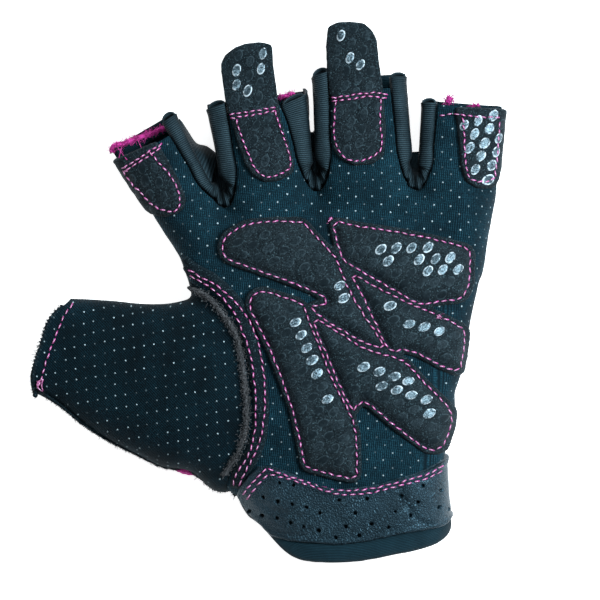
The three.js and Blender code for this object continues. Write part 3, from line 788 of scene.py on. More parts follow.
def dottedKnit(name, edge=None):
    knit = knits[name]
    made = newMaterial(name, 0.82, sheen=0.01, shine=0.12)
    at = millimetres(made)
    face = faceCoordinates(made, at, edge)
    turned = node(made, "ShaderNodeMapping", {"Vector": face, "Rotation": (0, 0, knit["turn"])})
    lines = node(made, "ShaderNodeTexWave", {"Vector": turned.outputs[0], "Scale": 1.05 / 2,
                                             "Distortion": 0.6, "Detail": 1.0,
                                             "Detail Scale": 2.0},
                 wave_type="BANDS", bands_direction="X", wave_profile="SIN").outputs["Fac"]
    rows = node(made, "ShaderNodeTexWave", {"Vector": turned.outputs[0], "Scale": 0.85 / 2,
                                            "Distortion": 0.5, "Detail": 1.0},
                wave_type="BANDS", bands_direction="Y", wave_profile="SIN").outputs["Fac"]
    weave = maths(made, "MULTIPLY", lines, stretch(made, rows, 0, 1, 0.55, 1))
    grainy = noiseOf(made, at, 1.9, 3.0, 0.6)
    cloudy = noiseOf(made, at, 0.09, 3.0, 0.65)
    mask = dotMask(made, face, knit["stepA"], knit["stepB"], knit["radius"])
    fade = stretch(made, noiseOf(made, at, 0.4, 1.0), 0.4, 0.62, 0.12, 1)
    mask = maths(made, "MULTIPLY", mask, fade)
    tone = maths(made, "MULTIPLY", weave, stretch(made, grainy, 0.34, 0.66, 0.2, 1.42))
    tone = maths(made, "MULTIPLY", tone, stretch(made, cloudy, 0.32, 0.66, 0.3, 1.3), True)
    colour = blend(made, mask, blend(made, tone, knit["dark"], knit["light"]), knit["dot"])
    rough = stretch(made, mask, 0, 1, 0.8, 0.45)
    return finishMaterial(made, colour, [(weave, 0.16, 0.7), (grainy, 0.12, 0.4),
                                         (mask, 0.25, 0.6)], rough)


suedes = {
    "overlay_suede": {"dark": (0.0010, 0.0026, 0.0040), "light": (0.020, 0.030, 0.037), "rough": 0.8},
    "pad_suede": {"dark": (0.0013, 0.0031, 0.0046), "light": (0.024, 0.036, 0.044), "rough": 0.8},
    "tape_cloth": {"dark": (0.0018, 0.0045, 0.0065), "light": (0.010, 0.020, 0.027), "rough": 0.85},
}
fleckTone = (0.070, 0.125, 0.150)


def suede(name):
    look = suedes[name]
    made = newMaterial(name, look["rough"], sheen=0.02, shine=0.1)
    at = millimetres(made)
    nap = noiseOf(made, at, 2.1, 4.0, 0.8)
    blotch = noiseOf(made, at, 0.2, 3.0)
    flecks = stretch(made, noiseOf(made, at, 2.4, 1.0, 0.5), 0.62, 0.68)
    tone = maths(made, "MULTIPLY", stretch(made, nap, 0.36, 0.66),
                 stretch(made, blotch, 0.3, 0.7, 0.5, 1.15), True)
    colour = blend(made, tone, look["dark"], look["light"])
    colour = blend(made, maths(made, "MULTIPLY", flecks, 0.6), colour, fleckTone)
    dents = node(made, "ShaderNodeTexVoronoi", {"Vector": at, "Scale": 1.1},
                 feature="SMOOTH_F1").outputs["Distance"]
    return finishMaterial(made, colour, [(blotch, 0.6, 0.4), (dents, 0.15, 0.35),
                                         (nap, 0.22, 0.7)])


hide = {"dark": (0.0010, 0.0030, 0.0048), "light": (0.008, 0.016, 0.023),
        "cloudy": (0.014, 0.032, 0.046), "shineTint": (0.4, 0.76, 1, 1)}


def cuffLeather():
    made = newMaterial("cuff_leather", 0.4, shine=0.5)
    shader = made.node_tree.nodes["Principled BSDF"]
    shader.inputs["Specular Tint"].default_value = hide["shineTint"]
    at = millimetres(made)
    cells = node(made, "ShaderNodeTexVoronoi", {"Vector": at, "Scale": 1.35, "Randomness": 0.95},
                 feature="DISTANCE_TO_EDGE").outputs["Distance"]
    grain = stretch(made, cells, 0.0, 0.22)
    fine = noiseOf(made, at, 4.0, 3.0)
    soft = noiseOf(made, at, 0.12, 2.0)
    tone = maths(made, "MULTIPLY", stretch(made, fine, 0.3, 0.7, 0.5, 1.1), grain, True)
    colour = blend(made, tone, hide["dark"], hide["light"])
    colour = blend(made, stretch(made, soft, 0.42, 0.62, 0, 0.4), colour, hide["cloudy"])
    rough = stretch(made, fine, 0.3, 0.7, 0.34, 0.5)
    return finishMaterial(made, colour, [(soft, 0.6, 0.3), (grain, 0.2, 0.7),
                                         (fine, 0.06, 0.45)], rough)


ribs = {
    "roll_rib": {"dark": (0.0012, 0.0045, 0.0068), "light": (0.030, 0.058, 0.074), "pitch": 0.62,
                 "rough": 0.62},
    "binding_rib": {"dark": (0.0020, 0.0095, 0.0145), "light": (0.0085, 0.034, 0.050), "pitch": 0.5,
                    "rough": 0.8},
}


def ribKnit(name):
    # ribs run across the strip, every pitch along it, by the strip's own length map
    look = ribs[name]
    made = newMaterial(name, look["rough"], sheen=0.02)
    at = millimetres(made)
    where = node(made, "ShaderNodeUVMap", uv_map="length")
    split = node(made, "ShaderNodeSeparateXYZ", {0: where.outputs[0]})
    turns = maths(made, "MULTIPLY", split.outputs[0], 2 * math.pi / look["pitch"])
    rib = stretch(made, maths(made, "SINE", turns), -1, 1)
    grainy = noiseOf(made, at, 3.5, 3.0)
    cloudy = noiseOf(made, at, 0.16, 2.0)
    tone = maths(made, "MULTIPLY", maths(made, "MULTIPLY", rib,
                                         stretch(made, grainy, 0.3, 0.7, 0.4, 1.2)),
                 stretch(made, cloudy, 0.3, 0.7, 0.5, 1.2), True)
    # painted shade and light: the ribs' tone darkens where the surface turns away from straight up and
    # lightens on the tops of the rolls
    crest = stretch(made, facing(made)[2], 0.45, 0.98, 0.12, 1.3)
    colour = blend(made, maths(made, "MULTIPLY", tone, crest, True), look["dark"], look["light"])
    return finishMaterial(made, colour, [(rib, 0.16, 0.8), (grainy, 0.08, 0.35)])


# the crest tone is a painted highlight on the threads
pinkThread = {"dark": (0.26, 0.010, 0.13), "light": (0.56, 0.05, 0.32), "crest": (1.0, 0.66, 0.88)}


def threadMaterial():
    made = newMaterial("pink_thread", 0.3, sheen=0.05, shine=0.8)
    at = millimetres(made)
    twist = node(made, "ShaderNodeTexWave", {"Vector": at, "Scale": 1.1, "Distortion": 1.0},
                 wave_type="BANDS", bands_direction="DIAGONAL").outputs["Fac"]
    uneven = noiseOf(made, at, 0.6, 2.0)
    colour = blend(made, stretch(made, uneven, 0.35, 0.65), pinkThread["dark"], pinkThread["light"])
    # painted highlight: the thread turns towards the crest tone where it faces up, broken by the twist
    crest = maths(made, "MULTIPLY", stretch(made, facing(made)[2], 0.74, 0.97, 0, 1),
                  stretch(made, twist, 0.2, 0.8, 0.35, 0.95))
    colour = blend(made, crest, colour, pinkThread["crest"])
    return finishMaterial(made, colour, [(twist, 0.1, 0.6)])


fuzzes = {
    "felt": {"dark": (0.012, 0.015, 0.018), "light": (0.155, 0.158, 0.168)},
    "pink_fuzz": {"dark": (0.28, 0.012, 0.13), "light": (0.80, 0.07, 0.44)},
}


def fuzzMaterial(name):
    made = newMaterial(name, 0.9, sheen=0.05)
    at = millimetres(made)
    loops = noiseOf(made, at, 2.2, 4.0, 0.7)
    colour = blend(made, stretch(made, loops, 0.35, 0.65), fuzzes[name]["dark"], fuzzes[name]["light"])
    return finishMaterial(made, colour, [(loops, 0.5, 0.9)])


# the grip ovals' finishes: tones, the rim's tone (a painted highlight), the roughness from and to, and
# the shine; the smooth copy's pale tones are a painted highlight, and the dull copy is the same ovals
# without it
grips = {
    "grip_smooth_painted_highlight": {"dark": (0.012, 0.024, 0.032), "light": (0.30, 0.42, 0.50),
                   "rim": (0.58, 0.68, 0.75), "rough": (0.2, 0.4), "shine": 0.6},
    "grip_dull": {"dark": (0.0030, 0.0062, 0.0088), "light": (0.026, 0.042, 0.052),
                  "rim": (0.030, 0.049, 0.060), "rough": (0.5, 0.75), "shine": 0.16},
}


def gripMaterial(name):
    # raised grip ovals over the suede, finely ridged and darker in random patches; the smooth copy's
    # light tone is a painted highlight
    look = grips[name]
    made = newMaterial(name, look["rough"][0], shine=look["shine"])
    at = millimetres(made)
    ridges = node(made, "ShaderNodeTexWave", {"Vector": at, "Scale": 1.1, "Distortion": 7.0,
                                              "Detail": 2.0, "Detail Scale": 1.2},
                  wave_type="BANDS", bands_direction="DIAGONAL").outputs["Fac"]
    pitted = noiseOf(made, at, 2.0, 3.0, 0.7)
    patchy = stretch(made, noiseOf(made, at, 0.26, 2.0), 0.42, 0.58, 0.12, 0.8)
    tone = maths(made, "MULTIPLY", stretch(made, pitted, 0.42, 0.6), patchy)
    colour = blend(made, tone, look["dark"], look["light"])
    # painted highlight: towards the oval's edge the tone turns to the rim's tone, broken up by noise
    where = node(made, "ShaderNodeUVMap", uv_map="length")
    ring = node(made, "ShaderNodeSeparateXYZ", {0: where.outputs[0]})
    broken = stretch(made, noiseOf(made, at, 0.75, 2.0), 0.45, 0.56)
    rim = maths(made, "MULTIPLY", stretch(made, ring.outputs[0], 0.62, 0.84), broken)
    colour = blend(made, rim, colour, look["rim"])
    rough = stretch(made, pitted, 0.35, 0.7, *look["rough"])
    return finishMaterial(made, colour, [(ridges, 0.05, 0.5), (pitted, 0.09, 0.6)], rough)


# the palm's outer edge in the photo, and how high its wall starts in mm
outerTop, outerLow = spots([(501, 115), (451, 470)])
outerSlope = (outerTop[0] - outerLow[0]) / (outerTop[1] - outerLow[1])
outerEdge = (outerTop[0] - outerSlope * outerTop[1], outerSlope, 16.0)
palmKnit = dottedKnit("palm_knit", outerEdge)
thumbKnit = dottedKnit("thumb_knit")
backKnit = dottedKnit("back_knit")
overlaySuede = suede("overlay_suede")
padSuede = suede("pad_suede")
leather = cuffLeather()
rollRib = ribKnit("roll_rib")
bindingRib = ribKnit("binding_rib")
thread = threadMaterial()
tapeCloth = suede("tape_cloth")
felt = fuzzMaterial("felt")
pinkFuzz = fuzzMaterial("pink_fuzz")
smoothPaintedHighlightGrip = gripMaterial("grip_smooth_painted_highlight")
dullGrip = gripMaterial("grip_dull")
print("materials done")

placed = []  # every surface that stitches and ovals can lie on


def finishPiece(piece, slotName, *nodes):
    # a piece that stands for solids of the CAD
    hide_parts(*nodes)
    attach(piece, "root")


def aside(piece):
    # a piece that the scene adds
    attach(piece, "root")


# ribbed rolled strips between the fingers, in mm: "wide" at the mouth and the root, "slant" of the
# mouth's cut at the roll and at its foot, "lip" of the far curl; "bottom" and "gap" are in the photo
strip = {"thick": 0.8, "step": 0.45, "across": 34, "gathers": 0.8, "gatherPitch": 3.1,
         "gatherReach": 5.0, "crest": 2.1,
         "slant": {("index", 1): (1.5, 0.5), ("middle", -1): (0.1, 2.5), ("middle", 1): (4.9, -0.8),
                   ("ring", -1): (-2.4, 0.8), ("ring", 1): (1.0, 1.3), ("little", -1): (0.6, 1.2)},
         "lip": {("index", 1): 1.5, ("middle", -1): 1.2, ("middle", 1): 1.2, ("ring", -1): 1.5,
                 ("ring", 1): 1.0, ("little", -1): 1.0},
         "wide": {("index", 1): (5.2, 3.4), ("middle", -1): (6.4, 5.0), ("middle", 1): (8.6, 3.6),
                  ("ring", -1): (5.6, 4.6), ("ring", 1): (5.4, 4.6), ("little", -1): (4.8, 4.2)},
         "bottom": {("index", "middle"): (226, 208), ("middle", "ring"): (317, 192),
                    ("ring", "little"): (417, 191)},
         "gap": {("index", "middle"): (217, 155), ("middle", "ring"): (313, 131),
                 ("ring", "little"): (414.7, 151)}}


def webAxes(pair):
    bottom = spot(*strip["bottom"][pair])
    forward = spot(*strip["gap"][pair]) - bottom
    reach = np.linalg.norm(forward)
    top = heightsOn(formTree, [bottom])[0]
    return bottom, forward / reach, reach, top


def webHeight(ahead, reach, top):
    return float(np.interp(ahead, [0, 2.5, 5.5, 0.62 * reach, reach],
                           [top - 0.6, top - 1.2, top - 3.2, 0.42 * top, cloth["seam"]]))


def stripSection(f, key, side, along, pair):
    bottom, forward, reach, top = webAxes(pair)
    half = fingerHalf(f, along)
    mouthWide, rootWide = strip["wide"][(key, side)]
    wide = rootWide + (mouthWide - rootWide) * np.clip(along / f["back"], 0, 1) ** 1.3
    groove = fingerTop(f, half - wide, along)
    high = fingerTop(f, half - wide * 0.5, along) + strip["crest"]
    ahead = (onFinger(f, side * half, along) - bottom) @ forward
    low = max(cloth["seam"] + 0.15, webHeight(ahead, reach, top) - 0.4 if ahead < reach else 0)
    fade = np.clip(along / f["back"], 0, 1) ** 6
    inner, outer = (cut * fade for cut in strip["slant"][(key, side)])
    rows = [(half - wide - 0.25, groove - 1.1), (half - wide + 0.45, groove + 0.5),
            (half - wide * 0.55, high), (half - wide * 0.14, high - 1.5),
            (half - 0.25, (high * 0.8 + low) / 1.8), (half - 0.6, low)]
    return np.array([[*onFinger(f, side * across, along - inner * (1 - k / 5) - outer * k / 5), z]
                     for k, (across, z) in enumerate(rows)])


def crotchSection(pair, sideways):
    bottom, forward, _, top = webAxes(pair)
    across = np.array([forward[1], -forward[0]]) * sideways
    rows = [(0, top - 1.1), (0.7, top + 0.45), (1.9, top + 0.7), (3.2, top - 0.1),
            (4.6, top - 1.9), (5.4, top - 3.6)]
    spread = 0.3 * sideways ** 2
    return np.array([[*(bottom + across * (1 - 0.1 * k) + forward * (ahead + spread)), z]
                     for k, (ahead, z) in enumerate(rows)])


def stripNet(pair):
    a = fingers[pair[0]]
    b = fingers[pair[1]]
    stations = [stripSection(a, pair[0], 1, a["back"] * k, pair) for k in (1, 0.75, 0.5, 0.3)]
    stations += [crotchSection(pair, k) for k in (-3.0, -1.0, 1.0, 3.0)]
    stations += [stripSection(b, pair[1], -1, b["back"] * k, pair) for k in (0.3, 0.5, 0.75, 1)]
    stations = np.array(stations)
    path = np.r_[0, np.cumsum(np.linalg.norm(np.diff(stations[:, 2], axis=0), axis=1))]
    at = np.linspace(0, path[-1], int(path[-1] / strip["step"]))
    sections = spline(path, stations, at)
    fine = np.linspace(0, 1, strip["across"])
    mesh = spline(np.linspace(0, 1, 6), sections.transpose(1, 0, 2), fine).transpose(1, 0, 2)
    return mesh, at, (path[5] + path[6]) / 2, fine


stripNets = {pair: stripNet(pair) for pair in pairs}


def gapOutline(pair):
    # the palm's edge runs along the strip's groove
    edge = stripNets[pair][0][::4, 1, :2]
    first = edge[0] + (edge[0] - edge[2]) * 3
    last = edge[-1] + (edge[-1] - edge[-3]) * 3
    return np.vstack([first, edge, last])


gapRegions = [gapOutline(pair) for pair in pairs]


def lengthMap(piece, along):
    # keeps each point's length along the strip, for its ribs
    layer = piece.data.uv_layers.new(name="length")
    corners = np.zeros(len(piece.data.loops), int)
    piece.data.loops.foreach_get("vertex_index", corners)
    values = np.zeros((len(corners), 2))
    values[:, 0] = along[corners]
    layer.data.foreach_set("uv", values.ravel())


def gridFaces(rows, columns):
    return [(r * columns + c, r * columns + c + 1, (r + 1) * columns + c + 1, (r + 1) * columns + c)
            for r in range(rows - 1) for c in range(columns - 1)]


def facingUp(points, faces):
    normals = pointNormals(points, faces)
    if normals[:, 2].mean() < 0:
        return [f[::-1] for f in faces], -normals
    return faces, normals


def rolledStrip(pair):
    mesh, at, middle, fine = stripNets[pair]
    rows, columns = mesh.shape[:2]
    points = mesh.reshape(-1, 3)
    faces, normals = facingUp(points, gridFaces(rows, columns))
    away = np.repeat(at - middle, columns)  # length from the strip's middle
    across = np.tile(fine, rows)
    near = np.exp(-(away / strip["gatherReach"]) ** 2) * np.sin(np.pi * across ** 0.8) ** 0.7
    pleats = np.sin(2 * np.pi * away / strip["gatherPitch"] + 1.2 * across)
    dent = 0.22 * ripple(points, 6, 2.0) * np.sin(np.pi * across)
    ends = np.clip(1 - np.minimum(at - at[0], at[-1] - at) / 1.6, 0, 1)
    flare = 0.35 * np.repeat(ends, columns) * np.sin(np.pi * across)
    points = points + normals * (strip["gathers"] * near * pleats + dent + flare)[:, None]
    low = points - normals * strip["thick"]
    piece, top, faces = closedSheet("rib_strip_" + "_".join(pair), points, low, faces, rollRib)
    lengthMap(piece, np.r_[np.repeat(at, columns), np.repeat(at, columns)])
    finishPiece(piece, "rib_knit", "fourchette_" + "_".join(pair))
    placed.append((top, faces))


mouthCurl = {"rows": 9, "across": 21, "inside": 1.2, "deep": 2.0, "thick": 0.6}


def mouthLip(key, side, pair):
    # the far half of the curl, which shows past the roll's mouth
    f = fingers[key]
    section = stripSection(f, key, side, f["back"], pair)
    ahead = np.append(fingerAxes(f)[1], 0)
    points = []
    rows, columns = mouthCurl["rows"], mouthCurl["across"]
    for v in np.linspace(0, 1, rows):
        for u in np.linspace(-1, 1, columns):
            bow = math.sqrt(1 - u * u)
            at = section[1] + (section[3] - section[1]) * (0.9 * u + 1) / 2
            reach = mouthCurl["inside"] + strip["lip"][(key, side)] * bow
            at = at + ahead * (reach * v - mouthCurl["inside"])
            points.append(at - [0, 0, 0.35 + bow * (mouthCurl["deep"] - 1.5 * v * v)])
    points = np.array(points)
    faces, normals = facingUp(points, gridFaces(rows, columns))
    piece = closedSheet(f"rib_lip_{key}_{'left' if side < 0 else 'right'}", points,
                        points - normals * mouthCurl["thick"], faces, rollRib)[0]
    lengthMap(piece, np.tile(np.repeat(np.linspace(0, 2.5, rows), columns), 2))
    aside(piece)


tongue = {"rows": 30, "across": 17, "start": 0.8, "side": 2.0, "pleats": 2.2, "pleatHigh": 0.35,
          "thick": 0.7}


def webTongue(pair):
    # the strip's foot, which slopes from the roll down to the back of the hand
    bottom, forward, reach, top = webAxes(pair)
    across = np.array([forward[1], -forward[0]])
    a = fingers[pair[0]]
    b = fingers[pair[1]]
    points = []
    rows, columns = tongue["rows"], tongue["across"]
    for ahead in np.linspace(tongue["start"], reach, rows):
        here = bottom + forward * ahead
        halves = []
        for f, side in ((a, 1), (b, -1)):
            along = (here - fingerAxes(f)[0]) @ fingerAxes(f)[1]
            halves.append(abs((onFinger(f, side * fingerHalf(f, along), along) - here) @ across))
        for t in np.linspace(-1, 1, columns):
            wide = (halves[0] if t < 0 else halves[1]) + tongue["side"]
            pleat = math.cos(2 * math.pi * tongue["pleats"] * t) * math.exp(-ahead / 7)
            pleat *= tongue["pleatHigh"]
            z = webHeight(ahead, reach, top) + pleat + 0.5 * t * t - 0.3
            points.append([*(here + across * t * wide), max(z, cloth["seam"])])
    points = np.array(points)
    faces, normals = facingUp(points, gridFaces(rows, columns))
    low = points - normals * tongue["thick"]
    piece = closedSheet("web_" + "_".join(pair), points, low, faces, rollRib)[0]
    lengthMap(piece, np.tile(np.tile(np.linspace(-4, 4, columns), rows), 2))
    aside(piece)


# the index strip's free inner wall, which leans into the gap: two lines in the photo, their heights
innerWall = {"roll": [(179, 118), (184, 131), (190, 145), (199, 162), (211, 184)],
             "edge": [(182.5, 122), (187.5, 130), (196, 142), (207, 145.5), (219, 155)],
             "high": (8.5, 9.5, 10, 10, 9.5), "low": (6, 4.5, 3, 2.4, 2.4),
             "rows": 40, "across": 14, "bow": 0.9, "thick": 0.7}


def wallSheet(name, wall):
    rows, columns = wall["rows"], wall["across"]
    at = np.linspace(0, 4, rows)
    roll = spline(np.arange(5), spots(wall["roll"]), at)
    edge = spline(np.arange(5), spots(wall["edge"]), at)
    high = np.interp(at, range(5), wall["high"])
    low = np.interp(at, range(5), wall["low"])
    points = []
    for k in range(rows):
        for t in np.linspace(0, 1, columns):
            z = high[k] + (low[k] - high[k]) * t + wall["bow"] * math.sin(math.pi * t)
            points.append([*(roll[k] + (edge[k] - roll[k]) * t), z])
    points = np.array(points)
    faces, normals = facingUp(points, gridFaces(rows, columns))
    piece = closedSheet(name, points, points - normals * wall["thick"], faces, rollRib)[0]
    lengthMap(piece, np.tile(np.repeat(at * 3.2, columns), 2))
    aside(piece)


for pair in pairs:
    rolledStrip(pair)
    webTongue(pair)
    mouthLip(pair[0], 1, pair)
    mouthLip(pair[1], -1, pair)
wallSheet("rib_inner_wall_index", innerWall)
print("strips done")

# the two knit panels and the thumb

def palmChange(points, normals):
    up = np.clip(normals[:, 2], 0, 1)
    return 0.22 * ripple(points, 9, 1.7) + 0.1 * ripple(points, 3.2, 4.1) - foldDepth(points) * up


def pastFronts(points):
    return np.max([mouthLine(f, f["front"])(points) for f in fingers.values()], axis=0)


def pastBacks(points):
    return np.max([mouthLine(f, f["back"])(points) for f in fingers.values()], axis=0)


# negative where the panel is kept: on one side of the side seam, clear of the thumb, the gaps and so on
aboveSeam = lambda points: cloth["seam"] + cloth["clear"] - points[:, 2]
belowSeam = lambda points: points[:, 2] - cloth["seam"] + cloth["clear"]
handSide = lambda points: -signedDistance(points, thumbRegion) + cloth["thumbClear"]
aboveWrist = lambda points: wristRegion(points, cloth["hem"] + 0.2)
noGaps = lambda points: np.max([-signedDistance(points, g) for g in gapRegions], axis=0) + cloth["clear"]
# the open gap between the middle and ring fingers' strips, in the photo
slit = spots([(309.2, 55), (314.8, 55), (315, 100), (315, 126), (312.6, 131), (310.4, 127),
              (309.3, 100)])
noSlit = lambda points: cloth["clear"] - signedDistance(points, slit)

palmPanel, palmTop, palmFaces = skin(
    "palm_knit_panel", allOf(aboveSeam, handSide, aboveWrist, noGaps, noSlit, pastFronts), palmKnit,
    change=palmChange)
finishPiece(palmPanel, "palm_knit", "palm_panel")
placed.append((palmTop, palmFaces))

tabRegion = np.array([[tabLow.x, tabLow.y], [tabHigh.x, tabLow.y], [tabHigh.x, tabHigh.y],
                      [tabLow.x, tabHigh.y]]) / mm
clearOfTab = lambda points: (cloth["clear"] - signedDistance(points, tabRegion)
                             - 100 * (points[:, 2] > 2))
backPanel, backTop, backFaces = skin(
    "back_knit_panel", allOf(belowSeam, handSide, aboveWrist, pastBacks, noSlit, clearOfTab), backKnit)
finishPiece(backPanel, "back_knit", "back_panel")
placed.append((backTop, backFaces))


def thumbChange(points, normals):
    up = np.clip(normals[:, 2], 0, 1)
    swell = 0.35 * ripple(points, 14, 8.3) + 0.12 * ripple(points, 4, 2.2)
    return (swell - foldDepth(points)) * np.clip(points[:, 2] / 3, 0, 1) * (0.3 + 0.7 * up)


# a thin lining inside the wrist backs the seams there
liner = {"below": 0.6, "deep": 34, "lift": -1.7, "thick": 0.5}
liningEnd = lambda points: wristRegion(points, liner["below"])
liningTop = lambda points: points[:, 1] - wristY - liner["deep"]
lining = skin("wrist_lining", allOf(liningEnd, liningTop), backKnit, lift=liner["lift"],
              thickness=liner["thick"])[0]
aside(lining)

thumbSleeve, thumbTop, thumbFaces = skin(
    "thumb_knit_sleeve", allOf(over(thumbRegion), outside(over(thumbMouth))), thumbKnit,
    change=thumbChange)
finishPiece(thumbSleeve, "thumb_knit", "thumb_sleeve")
placed.append((thumbTop, thumbFaces))
print("knit panels done")

# the padded palm: five cells by their stitch rows, in the photo's frame
padCells = {
    "pad_index_centre": [(222, 247), (227, 236), (249, 224.5), (275, 222.5), (303, 223),
                         (315, 237.5), (334.7, 257.4), (344, 282.7), (353, 299.5), (365, 319.4),
                         (385, 348.5), (362, 341), (343, 330), (326, 319.6), (309, 306),
                         (329, 305), (328, 298), (310, 289), (278, 276.5), (244.4, 265),
                         (226, 258)],
    "pad_little_upper": [(333, 222), (361, 228), (398, 233.4), (434, 240.6), (469, 249.3),
                         (467.6, 285), (461, 298), (428, 301.8), (421, 305), (389, 287),
                         (366, 273.5), (343, 260), (338, 245)],
    "pad_little_middle": [(349.7, 273.5), (384, 292.6), (416, 308), (437, 316), (463, 329),
                          (463, 345), (458, 371.6), (441, 365), (418, 352), (400, 347.5),
                          (391, 352), (385, 343), (367.4, 305), (355, 281)],
    "pad_heel_little": [(313, 317), (331, 328.6), (362.7, 349), (389, 357), (402, 360),
                        (426, 386), (450, 410), (450, 424), (440, 448), (427, 448.5),
                        (394, 423.6), (367.5, 401), (356.5, 399), (353.6, 412), (341.6, 388),
                        (320, 338)],
    "pad_heel_thumb": [(302, 304), (312, 330.6), (331.6, 380.4), (350, 415), (355, 433),
                       (356, 477), (333.6, 472.7), (305, 465), (304, 455), (294, 409),
                       (283, 379), (271.5, 349), (250, 306.6), (252, 296), (262, 291),
                       (280, 296.7)],
}
padding = {"flange": 1.8, "suede": 1.1, "puff": 1.75, "shoulder": 1.5, "corner": 1.6, "lift": 0.3,
           "sink": 0.35, "skin": 0.5}


def unionOutline(outlines):
    # outer line of several overlapping outlines
    points = []
    edges = []
    faces = []
    for line in outlines:
        base = len(points)
        points += [Vector(p) for p in line]
        edges += [(base + i, base + (i + 1) % len(line)) for i in range(len(line))]
        faces.append(list(range(base, base + len(line))))
    out = delaunay_2d_cdt(points, edges, faces, 1, 1e-5)
    flat = [tuple(v) for v in out[0]]
    directed = set()
    for f in out[2]:
        a, b, c = (flat[i] for i in f)
        turn = (b[0] - a[0]) * (c[1] - a[1]) - (c[0] - a[0]) * (b[1] - a[1])
        f = list(f) if turn > 0 else list(f)[::-1]
        directed.update(zip(f, f[1:] + f[:1]))
    border = {a: b for a, b in directed if (b, a) not in directed}
    loops = []
    while border:
        start, nextOne = border.popitem()
        loop = [start]
        while nextOne != start:
            loop.append(nextOne)
            nextOne = border.pop(nextOne)
        loops.append(np.array([flat[i] for i in loop]))
    return max(loops, key=len)


cellLines = {name: roundedOutline(spots(rows), padding["corner"], 0.6)
             for name, rows in padCells.items()}
overlayLine = unionOutline([moved(alongLine(line, 0.9, True), padding["flange"])
                            for line in cellLines.values()])


def overlayRise(points, inward):
    edge = 1 - np.exp(-inward / 0.3)
    seam = np.zeros(len(points))
    for line in cellLines.values():
        seam = np.maximum(seam, np.exp(-(signedDistance(points, line) / 0.55) ** 2))
    return padding["suede"] * edge - 0.35 * seam + 0.08 * ripple(points, 2.4, 3.3)


overlay, overlayTop, overlayFaces = laid("palm_suede_overlay", overlayLine, formTree, overlaySuede,
                                         padding["lift"], overlayRise)
finishPiece(overlay, "suede", "palm_overlay")
placed.append((overlayTop, overlayFaces))


def padRise(points, inward):
    puffed = 1 - np.exp(-(np.clip(inward, 0, None) / padding["shoulder"]) ** 1.15)
    dents = 0.1 * ripple(points, 5.5, 6.1) + 0.05 * ripple(points, 1.8, 9.4)
    return padding["puff"] * puffed + dents * puffed


for name, line in cellLines.items():
    lift = padding["lift"] + padding["suede"] - padding["sink"]
    pad, padTop, padFaces = laid(name.replace("pad_", "padded_"), moved(line, -0.15), formTree,
                                 padSuede, lift, padRise, thick=padding["skin"],
                                 rings=(0.3, 0.75, 1.4))
    finishPiece(pad, "padded_suede", name)
    placed.append((padTop, padFaces))
print("padded palm done")

# suede patches on the finger fronts, two of them running on as pull tabs
patches = {
    "index": {"node": "finger_patch_index", "outline": [
        (110, 160), (118, 176), (131, 193), (147, 209), (155, 214), (166, 216), (176, 215),
        (184, 209), (186.5, 199), (178, 178), (167, 159), (160, 147), (157, 141)]},
    "middle": {"node": "pull_tab_middle", "outline": [
        (233, 127), (239, 147), (245, 164), (253, 176), (264, 183), (279, 181), (293, 173.5),
        (294, 165), (288, 142), (281, 122), (277.5, 98), (276, 86), (273, 64), (272, 44.4),
        (260.6, 42), (245, 43.6), (234.6, 47.5), (225, 55), (221, 63.5), (221.6, 72),
        (225.4, 100)]},
    "ring": {"node": "pull_tab_ring", "outline": [
        (333, 107), (332, 130), (333.6, 150), (340, 159), (353.5, 166), (372, 164.5), (384, 156),
        (385.6, 130), (384, 107), (381.8, 81), (378.7, 61), (376.7, 39), (371.8, 30),
        (364, 23), (350, 21.6), (338, 22), (328, 26), (326.4, 46), (327.4, 70), (330, 90)]},
    "little": {"node": "finger_patch_little", "outline": [
        (455, 107), (457, 125), (459, 145), (460.6, 168), (465, 182), (476, 189), (490, 188),
        (496.5, 180), (499, 160), (502, 135), (503.5, 108)]},
}
patchSuede = {"thick": 1.15, "seam": 0.16, "lift": 0.3, "wrap": 3.4, "corner": 1.2}


def patchRise(points, inward):
    edge = 1 - np.exp(-inward / 0.28)
    seam = np.exp(-((inward - 1.7) / 0.45) ** 2)
    return patchSuede["thick"] * edge - patchSuede["seam"] * seam + 0.1 * ripple(points, 2.6, 5.2)


def fingerBed(f, side):
    # a finger's own lie, turning down at its outer side
    root, forward, sideways = fingerAxes(f)
    half = fingerHalf(f, f["front"])
    turns = ((side * (half - 5.5), side, 5.5, 5.5),) if side else ()
    return {"root": root, "forward": forward, "sideways": sideways, "turns": turns}


def inBed(points, bed):
    rel = np.asarray(points) - bed["root"]
    return np.stack([rel @ bed["sideways"], rel @ bed["forward"]], 1)


# the side on which a patch wraps round the hand's edge
outerSide = {"index": -1, "middle": 0, "ring": 0, "little": 1}
for name, patch in patches.items():
    bed = fingerBed(fingers[name], outerSide[name])
    line = inBed(spots(patch["outline"]), bed)
    if outerSide[name]:
        edge = fingerHalf(fingers[name], fingers[name]["front"]) - 0.9
        wrap = patchSuede["wrap"] * np.clip((line[:, 1] - line[:, 1].min() - 3) / 6, 0, 1)
        line[:, 0] += outerSide[name] * wrap * (outerSide[name] * line[:, 0] > edge)
    line = moved(roundedOutline(line, patchSuede["corner"], 0.6), 0.25)
    piece, top, faces = laid(f"suede_patch_{name}", line, formTree, overlaySuede,
                             patchSuede["lift"], patchRise, bed=bed)
    finishPiece(piece, "suede", patch["node"])
    placed.append((top, faces))
    patch["line"] = line
    patch["bed"] = bed
print("patches done")

# felt tape over the thumb's seam, with its raw edge on the thumb's side
tape = {"thumbSide": 2.2, "palmSide": 3.0, "thick": 0.8, "lift": 0.1}


def besideLine(line, distance):
    ahead = np.gradient(line, axis=0)
    ahead /= np.linalg.norm(ahead, axis=1, keepdims=True)
    return line + np.stack([-ahead[:, 1], ahead[:, 0]], 1) * distance


